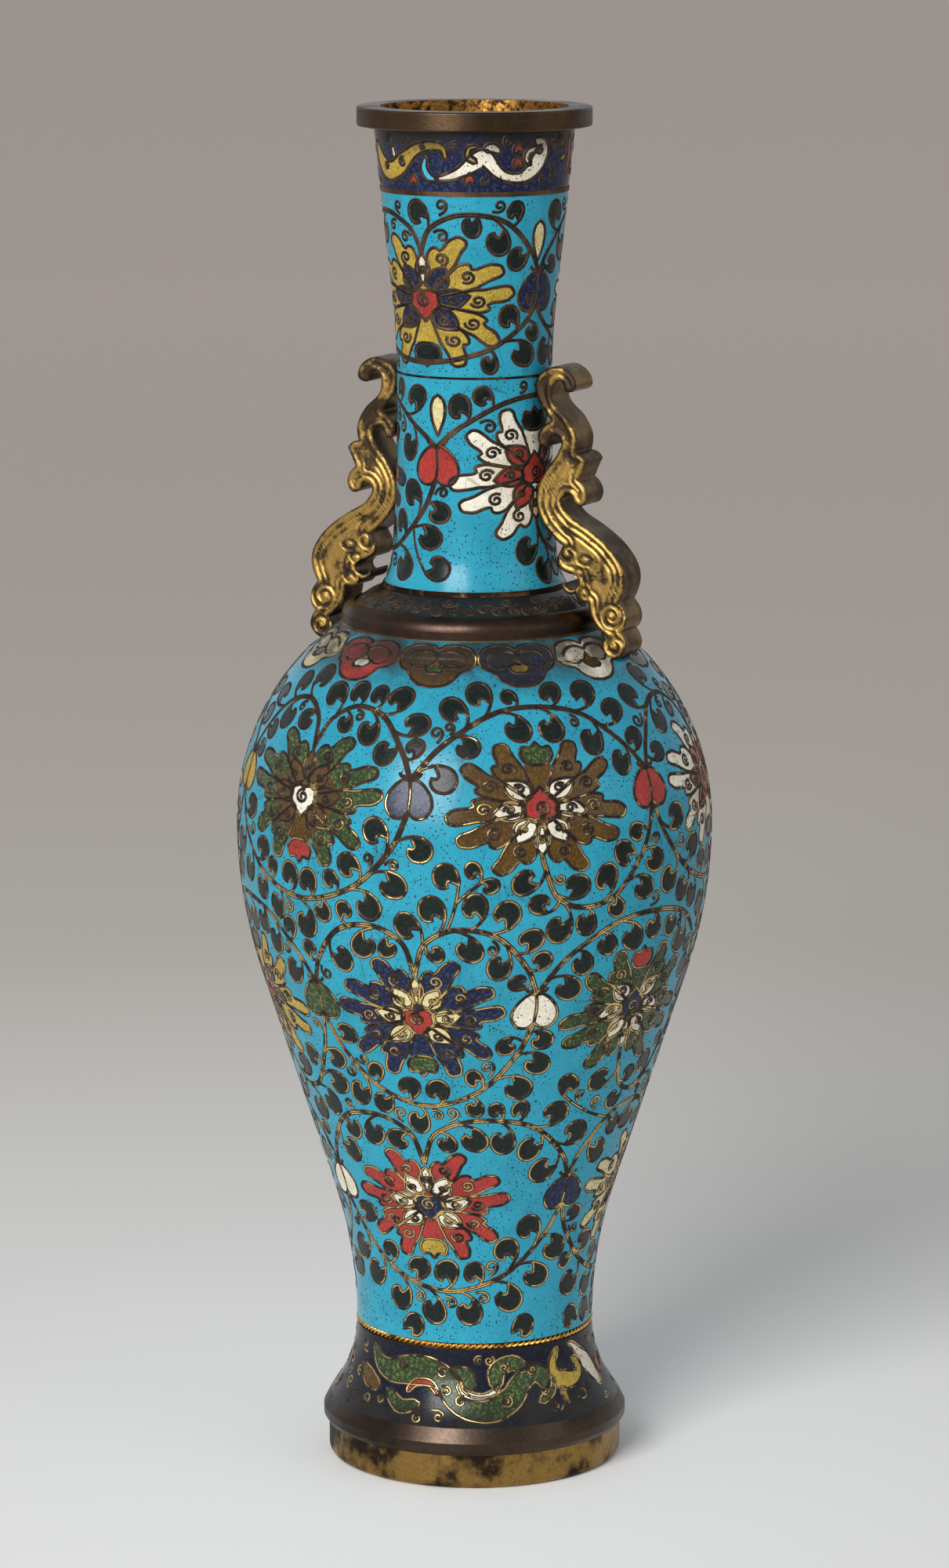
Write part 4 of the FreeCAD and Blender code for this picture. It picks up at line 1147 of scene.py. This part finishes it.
LOTUS_COLOURS = {
    # petals, inner petals, heart, sepal, then the stem's small petal and the disc if they differ
    "moss": ("moss_enamel", "amber_enamel", "white_enamel", "brick_enamel", None, "amber_enamel"),
    "amber": ("amber_enamel", "white_enamel", "brick_enamel", "moss_enamel"),
    "white": ("white_enamel", "brick_enamel", "brick_enamel", "leaf_enamel", "cream_enamel"),
    "ochre": ("ochre_enamel", "navy_enamel", "brick_enamel", "leaf_enamel", "white_enamel"),
    "navy": ("navy_enamel", "cream_enamel", "brick_enamel", "moss_enamel"),
    "green": ("moss_enamel", "white_enamel", "navy_enamel", "brick_enamel"),
    "brick": ("brick_enamel", "white_enamel", "navy_enamel", "ochre_enamel"),
    "cream": ("cream_enamel", "navy_enamel", "brick_enamel", "moss_enamel"),
}
# the lappets in turn: each one's own colour, and its drop's
LAPPETS = [("cream_enamel", "navy_enamel"), ("brick_enamel", "white_enamel"),
           ("amber_enamel", "moss_enamel"), ("navy_enamel", "ochre_enamel"),
           ("white_enamel", "leaf_enamel"), ("moss_enamel", "brick_enamel")]
LAPPET_COUNT, WAIST_LEAF_COUNT = 12, 26


def body_drawing():
    """The body: a collar of lappets, three rows of flowers and a ring of leaves at the waist."""
    drawing = Drawing(TurnedFace("body_enamel"))
    for k in range(LAPPET_COUNT):
        put = drawing.spot(-74 + 30 * k, drawing.face.high - 1.5, 0.0, 0.98)
        lappet(drawing, put, *LAPPETS[k % len(LAPPETS)])
    vines = row(
        drawing, 233.0,
        [(-46, HANGING, "moss"), (16, UP, "amber"), (79, HANGING, "white"), (138, UP, "navy"),
         (-164, HANGING, "brick"), (-105, UP, "ochre")],
        [(-76, "ochre_enamel"), (-16, "navy_enamel"), (48, "brick_enamel"),
         (109, "white_enamel"), (168, "moss_enamel"), (-134, "brick_enamel")],
        drop=33.0, top=29.0)
    vines += row(
        drawing, 163.0,
        [(-75, UP, "ochre"), (-15, HANGING, "navy"), (47, UP, "green"), (108, HANGING, "brick"),
         (168, UP, "amber"), (-134, HANGING, "white")],
        [(-45, "moss_enamel"), (16, "white_enamel"), (78, "navy_enamel"),
         (138, "brick_enamel"), (-163, "ochre_enamel"), (-104, "navy_enamel")],
        drop=31.0, top=31.0, squeeze=0.92)
    vines += row(
        drawing, 96.0,
        [(-18, HANGING, "brick"), (80, HANGING, "cream"), (168, HANGING, "navy"),
         (-108, HANGING, "ochre")],
        [(-62, "white_enamel"), (37, "navy_enamel"), (126, "moss_enamel"),
         (-150, "brick_enamel")],
        drop=31.0, top=31.0, squeeze=0.92, size=0.95)
    for k in range(WAIST_LEAF_COUNT):
        turn = FRONT + math.radians(-172 + k * 13.6)
        leaf(drawing, drawing.spot_at(turn, 3.0, rng.uniform(-0.2, 0.2), 0.9, rng.choice((-1, 1))))
    fill(drawing, vines)
    return drawing


def neck_drawing(node_name, height, flowers, buds, small_buds, drop, top):
    """A zone of the neck: one row of flowers, with a slim bud over each heart."""
    drawing = Drawing(TurnedFace(node_name))
    for turn, bud_height, enamel_name in small_buds:
        small_bud(drawing, drawing.spot(turn, bud_height), enamel_name)
    fill(drawing, row(drawing, height, flowers, buds, drop, top))
    return drawing


def upper_neck_drawing():
    return neck_drawing("upper_neck_enamel", 389.0,
                        [(-37, HANGING, "ochre"), (140, HANGING, "white")],
                        [(48, "navy_enamel"), (-130, "brick_enamel")],
                        [(46, 408.0, "cream_enamel"), (-131, 408.0, "ochre_enamel")],
                        drop=20.0, top=28.0)


def lower_neck_drawing():
    return neck_drawing("lower_neck_enamel", 333.0,
                        [(50, UP, "white"), (-130, UP, "navy")],
                        [(-29, "brick_enamel"), (138, "ochre_enamel")],
                        [(-28, 352.0, "cream_enamel"), (139, 352.0, "navy_enamel")],
                        drop=27.0, top=24.0)


def band_curls(drawing, count, sizes):
    """Small curls strewn over a band's ground, this many tries of each size."""
    for size in sizes:
        for _ in range(count):
            tendril(drawing, drawing.spot(rng.uniform(-178, 178),
                                          rng.uniform(drawing.face.low, drawing.face.high),
                                          rng.uniform(0, math.tau), size, rng.choice((-1, 1))))


def moved_round(turn, half):
    """A turn moved by half a turn or none, from -180 up to 180."""
    return (turn + half + 180) % 360 - 180


def band_strip(drawing, half, enamel_name, rank, course):
    """A ribbon of a band's figures, left out where it would cross the seam at the back."""
    moved = [(moved_round(turn, half), height, width) for turn, height, width in course]
    turns = [turn for turn, _, _ in moved]
    if max(turns) - min(turns) < 180:
        ribbon(drawing, moved, enamel_name, rank)


def band_figures(drawing, dragon, curls, beside):
    """A band's dragon, the curls of wire laid over it and what lies beside it, drawn twice,
    half a turn apart."""
    for half in (0, 180):
        for strip in dragon:
            band_strip(drawing, half, *strip)
        for turn, height, radius, hand in curls:
            put = drawing.spot(moved_round(turn, half), height)
            drawing.wire(put(spiral((0.0, 0.0), radius, 1.5, 1.0, hand)))
        for strip in beside:
            band_strip(drawing, half, *strip)


def small_flame(turn, height):
    return ("brick_enamel", 3, [(turn - 2.2, height - 0.8, 1.4), (turn, height + 0.6, 3.0),
                                (turn + 2.0, height - 0.6, 1.2)])


# the figures of the bands are strips: enamel, rank, and a course of (turn, height, width); the
# curls are (turn, height, radius, hand)
NECK_DRAGON = [
    ("white_enamel", 2, [
        (-23, 428.4, 1.2), (-13, 429.6, 2.6), (-5, 431.8, 3.4), (1, 434.2, 5.0),
        (6, 435.2, 6.0), (10, 433.0, 4.6), (14, 430.6, 3.6), (20, 429.0, 3.0), (29, 428.8, 3.2),
        (36, 431.0, 4.6), (41, 434.6, 5.8), (43, 438.4, 5.4), (39, 440.2, 3.4)]),
    ("white_enamel", 3, [(7, 438.2, 2.4), (10.5, 438.6, 3.0), (13.5, 437.6, 2.4)]),
    ("white_enamel", 3, [(38, 437.8, 2.2), (33, 437.0, 2.0), (31.5, 434.6, 1.9),
                         (34, 433.2, 1.6)]),
]
NECK_CURLS = [(41, 437.4, 1.7, 1), (-47, 433.4, 1.8, 1), (-64, 432.0, 1.6, -1),
              (-31, 438.6, 1.2, 1)]
NECK_BESIDE = [
    ("ochre_enamel", 3, [(0, 434.2, 1.6), (-4, 435.8, 2.0), (-3, 438.4, 1.8), (1, 438.8, 1.2)]),
    ("sky_enamel", 3, [(-30, 434.6, 1.8), (-31, 431.8, 2.6), (-28, 429.0, 2.6),
                       (-23, 428.2, 1.4)]),
    ("ochre_enamel", 2, [
        (-17, 435.4, 1.6), (-19, 438.4, 2.8), (-27, 439.0, 3.2), (-36, 437.6, 4.4),
        (-44, 434.6, 6.4), (-52, 431.4, 6.0), (-61, 430.2, 6.4), (-70, 432.6, 5.4),
        (-77, 438.0, 3.6)]),
    ("white_enamel", 3, [(-55, 437.6, 2.0), (-54, 435.4, 2.0)]),
    small_flame(-39, 427.8),
    small_flame(-3, 428.4),
    small_flame(26, 438.0),
    small_flame(26, 433.6),
    ("brick_enamel", 2, [(72, 440.0, 3.0), (74, 435.4, 3.4), (72, 429.4, 2.4)]),
    ("ochre_enamel", 2, [(60, 438.0, 1.4), (63, 439.8, 2.0)]),
    ("ochre_enamel", 2, [(62, 434.0, 2.0), (66, 434.8, 1.6)]),
    ("leaf_enamel", 2, [(51, 432.6, 1.2), (54, 431.2, 2.4), (53.4, 428.0, 1.8)]),
]

FOOT_DRAGON = [
    ("moss_enamel", 2, [
        (-56, 42.0, 2.6), (-50, 37.0, 5.0), (-42, 35.5, 7.6), (-33, 36.6, 9.4),
        (-22, 37.0, 9.6), (-13, 34.5, 8.0), (-9, 29.6, 7.6), (-2, 26.4, 7.6), (8, 26.0, 8.6),
        (17, 29.2, 8.4), (22, 33.6, 7.4), (30, 36.0, 6.0), (35, 32.6, 5.0)]),
]
FOOT_CURLS = [(-15, 37.0, 2.0, 1), (-36, 38.0, 1.8, -1), (-6, 28.4, 2.0, 1),
              (14, 38.6, 2.0, -1), (28, 37.0, 2.2, 1), (33, 30.0, 1.8, -1), (2, 41.2, 1.8, 1),
              (7, 41.2, 1.8, -1), (-24, 22.6, 2.0, 1), (14, 28.0, 2.2, -1)]
FOOT_BESIDE = [
    ("moss_enamel", 3, [(-9, 37.4, 3.4), (-4, 36.6, 5.0), (-2, 33.0, 4.0)]),
    ("moss_enamel", 3, [(10, 33.6, 4.4), (11, 38.0, 5.8), (18, 40.0, 5.2), (24, 38.0, 3.4)]),
    ("moss_enamel", 3, [(-40, 28.4, 4.0), (-33, 25.4, 5.2), (-26, 26.6, 3.2)]),
    ("moss_enamel", 3, [(31, 27.4, 3.0), (36, 29.4, 3.6), (38, 33.0, 2.4)]),
    ("brick_enamel", 4, [(-31, 30.4, 1.6), (-28, 33.0, 2.4), (-21, 33.4, 2.2),
                         (-16.5, 30.4, 1.6)]),
    ("white_enamel", 5, [(-7, 33.0, 1.8), (-4, 30.6, 3.0), (3, 29.6, 2.6), (8, 30.6, 2.8),
                         (11, 32.8, 1.6)]),
    ("amber_enamel", 2, [(-62, 33.4, 4.0), (-55, 31.0, 6.6), (-49, 29.8, 4.0)]),
    ("ochre_enamel", 2, [(43, 42.2, 2.0), (40, 38.0, 3.4), (41, 33.4, 4.0), (48, 31.6, 6.4),
                         (56, 32.4, 5.0), (57, 36.4, 3.4), (54, 37.6, 2.0)]),
    ("ochre_enamel", 3, [(43, 29.0, 2.6), (44, 25.6, 2.0)]),
    ("white_enamel", 3, [(52, 43.0, 1.4), (56, 41.4, 3.0), (62, 37.0, 6.0), (68, 32.4, 5.4),
                         (72, 27.0, 3.0)]),
    ("brick_enamel", 2, [(78, 34.0, 3.0), (79, 30.0, 3.0)]),
]


def neck_band_drawing():
    """Small dragons that chase round the dark band under the rim."""
    drawing = Drawing(TurnedFace("neck_band_enamel"))
    band_figures(drawing, NECK_DRAGON, NECK_CURLS, NECK_BESIDE)
    band_curls(drawing, 160, (0.8, 0.62))
    return drawing


def foot_band_drawing():
    """A green dragon, worn flat, among flames on the foot's dark band."""
    drawing = Drawing(TurnedFace("foot_enamel"))
    band_figures(drawing, FOOT_DRAGON, FOOT_CURLS, FOOT_BESIDE)
    band_curls(drawing, 240, (1.0, 0.75))
    return drawing


def collar_band_drawing():
    """Curls all over the dark slope of the collar."""
    drawing = Drawing(TurnedFace("collar_enamel"))
    band_curls(drawing, 900, (1.0, 0.75))
    return drawing


TURQUOISE = "turquoise_enamel"
ZONES = [
    # node, drawing, ground, record slot, wire look, pieces the wires are split into
    ("body_enamel", body_drawing, TURQUOISE, TURQUOISE, "bright_wire", 3),
    ("upper_neck_enamel", upper_neck_drawing, TURQUOISE, TURQUOISE, "dark_wire", 1),
    ("lower_neck_enamel", lower_neck_drawing, TURQUOISE, TURQUOISE, "dark_wire", 1),
    ("neck_band_enamel", neck_band_drawing, "navy_enamel", "blue_enamel", "dark_wire", 1),
    ("collar_enamel", collar_band_drawing, "midnight_enamel", "blue_enamel", "dark_wire", 1),
    ("foot_enamel", foot_band_drawing, "midnight_enamel", "blue_enamel", "bright_wire", 1),
]


def make_zones():
    """The enamel skin of each zone, and its wires."""
    for node_name, draw, ground, slot, wire_look, parts in ZONES:
        drawing = draw()
        enamel_skin(f"{node_name}_cells", drawing, ground, slot, node_name)
        for part in range(parts):
            cell_wires(f"{node_name}_wires_{part + 1}", drawing, looks[wire_look],
                       looks["wire_dirt_and_shade"], part=part, parts=parts)
        print(node_name, len(drawing.cells), "cells", len(drawing.wires), "wires")


CAD_FINISHES = {
    "mouth_rim": "rim_bronze",
    "neck_shell": "inner_copper",
    "body_shell": "inner_copper",
    "foot_shell": "inner_copper",
    "base_plate": "inner_copper",
    "collar_ring": "collar_bronze",
    "base_moulding": "moulding_bronze",
    "foot_ring": "foot_gilt",
    "upper_handle_pins": "rim_bronze",
    "foot_handle_pins": "rim_bronze",
    "neck_band_wire": "band_copper",
    "neck_seam_wire": "dark_wire",
    "neck_foot_wire": "dark_wire",
    "collar_wire": "pale_edge",
    "waist_wire": "bright_wire",
    "handle_right": "cast_side",
    "handle_left": "cast_side",
}


def finish_cad_nodes():
    """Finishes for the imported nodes, and worn gilt on the inward faces of the mouth rim."""
    for name, look in CAD_FINISHES.items():
        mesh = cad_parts[name].data
        mesh.materials.clear()
        mesh.materials.append(looks[look])
    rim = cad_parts["mouth_rim"].data
    rim.materials.append(looks["mouth_gilt"])
    for face in rim.polygons:
        if face.normal.x * face.center.x + face.normal.y * face.center.y < 0:
            face.material_index = 1


# ---------------------------------------------------------------- studio

CAMERA_AWAY, CAMERA_HEIGHT, CAMERA_TILT = 1.800, 0.560, math.radians(10.477)
CAMERA_LENS, CAMERA_SENSOR = 127.25, 36.0


def make_camera():
    """The camera, in front of the vase and a little above it, without depth of field."""
    data = bpy.data.cameras.new("camera")
    data.lens, data.sensor_width, data.sensor_fit = CAMERA_LENS, CAMERA_SENSOR, "AUTO"
    data.dof.use_dof = False
    camera = bpy.data.objects.new("camera", data)
    bpy.context.scene.collection.objects.link(camera)
    camera.location = (CAMERA_AWAY * math.sin(FRONT), -CAMERA_AWAY * math.cos(FRONT), CAMERA_HEIGHT)
    camera.rotation_euler = (math.pi / 2 - CAMERA_TILT, 0.0, FRONT)
    bpy.context.scene.camera = camera


FLOOR_RINGS, FLOOR_SPOKES = (0.0, 0.5, 1.5, 4.0, 12.0, 40.0), 48
FLOOR_PAINTED_LIGHT_OVER = 4.0              # the painted light and shade below run out over this many metres
# painted light and shade on the floor, against the distance from the vase
FLOOR_PAINTED_LIGHT = ((0.0, rgb(249, 249, 248)), (0.07, rgb(231, 230, 226)), (0.21, rgb(210, 203, 193)),
               (0.46, rgb(217, 204, 194)), (1.0, rgb(230, 214, 202)))
# painted shade on the floor well in front of the vase: how far in front it is full, where it stops,
# and the tone it leaves
FRONT_DARK, FRONT_PLAIN, FRONT_TONE = -1.3, -0.35, 0.40


def make_floor():
    """A wide pale floor with painted light and shade: brightest by the vase, greyer some way off,
    and painted darker well in front where the key light would glare."""
    points, faces = [(0.0, 0.0, 0.0)], []
    for ring in FLOOR_RINGS[1:]:
        for k in range(FLOOR_SPOKES):
            angle = math.tau * k / FLOOR_SPOKES
            points.append((ring * math.cos(angle), ring * math.sin(angle), 0.0))
    for k in range(FLOOR_SPOKES):
        nxt = (k + 1) % FLOOR_SPOKES
        faces.append((0, 1 + k, 1 + nxt))
        for r in range(len(FLOOR_RINGS) - 2):
            a, b = 1 + r * FLOOR_SPOKES, 1 + (r + 1) * FLOOR_SPOKES
            faces.append((a + k, b + k, b + nxt, a + nxt))
    look, tree, shader = finish_shader("studio_floor", 0.0)
    where = object_place(tree)
    away = node(tree, "ShaderNodeVectorMath", links={0: where},
                operation="LENGTH").outputs["Value"]
    shade = node(tree, "ShaderNodeMapRange", {"From Min": 0.0, "From Max": FLOOR_PAINTED_LIGHT_OVER},
                 {"Value": away})
    painted_light_tone = node(tree, "ShaderNodeValToRGB", links={"Fac": shade.outputs["Result"]})
    elements = painted_light_tone.color_ramp.elements
    while len(elements) < len(FLOOR_PAINTED_LIGHT):
        elements.new(0.5)
    for element, (place, colour) in zip(elements, FLOOR_PAINTED_LIGHT):
        element.position, element.color = place, colour
    backward = (-math.sin(FRONT), math.cos(FRONT), 0.0)
    back = node(tree, "ShaderNodeVectorMath", {1: backward}, {0: where},
                operation="DOT_PRODUCT").outputs["Value"]
    painted_front_shade = node(tree, "ShaderNodeMapRange",
               {"From Min": FRONT_DARK, "From Max": FRONT_PLAIN, "To Min": FRONT_TONE},
               {"Value": back}).outputs["Result"]
    # the floor's colour carries the painted light and the painted shade in front
    tree.links.new(blend(tree, painted_front_shade, (0.0, 0.0, 0.0, 1.0), painted_light_tone.outputs["Color"]),
                   shader.inputs["Base Color"])
    shader.inputs["Roughness"].default_value = 0.9
    shader.inputs["Specular IOR Level"].default_value = 0.1
    mesh = build_mesh("studio_floor", points, faces, materials=[look])
    floor = bpy.data.objects.new("studio_floor", mesh)
    bpy.context.scene.collection.objects.link(floor)


LIGHTS_AIM = Vector((0.0, 0.0, 0.24))


def soft_light(name, turn_deg, lift_deg, away, size, watts):
    """A square soft box that looks at the vase's middle, placed by its turn from the front."""
    data = bpy.data.lights.new(name, "AREA")
    data.shape, data.size, data.energy = "SQUARE", size, watts
    light = bpy.data.objects.new(name, data)
    bpy.context.scene.collection.objects.link(light)
    turn, lift = FRONT + math.radians(turn_deg), math.radians(lift_deg)
    out = Vector((math.sin(turn) * math.cos(lift), -math.cos(turn) * math.cos(lift),
                  math.sin(lift)))
    light.location = LIGHTS_AIM + out * away
    light.rotation_euler = (-out).to_track_quat("-Z", "Y").to_euler()


WALLS, CEILING = 0.70, 0.34         # light that comes from all round, and from overhead
DAYLIGHT = (0.93, 0.96, 1.0, 1.0)


def make_lights():
    """A soft key light from the left, a faint fill, and even light from the walls."""
    world = bpy.data.worlds.new("studio")
    world.use_nodes = True
    tree = world.node_tree
    tree.nodes["Background"].inputs["Color"].default_value = DAYLIGHT
    around = node(tree, "ShaderNodeTexCoord").outputs["Generated"]
    upward = node(tree, "ShaderNodeSeparateXYZ", links={"Vector": around}).outputs["Z"]
    sky = node(tree, "ShaderNodeMapRange", {"From Max": 0.9, "To Min": WALLS, "To Max": CEILING},
               {"Value": upward}).outputs["Result"]
    tree.links.new(sky, tree.nodes["Background"].inputs["Strength"])
    bpy.context.scene.world = world
    soft_light("key", -26, 24, 2.2, 1.1, 46.0)
    soft_light("fill", 60, 20, 2.8, 1.4, 4.0)
    bpy.context.scene.view_settings.view_transform = "Standard"


make_camera()
make_lights()
make_floor()
finish_cad_nodes()
make_zones()
cast_handle("handle_right", 1)
cast_handle("handle_left", -1)
twisted_wire()
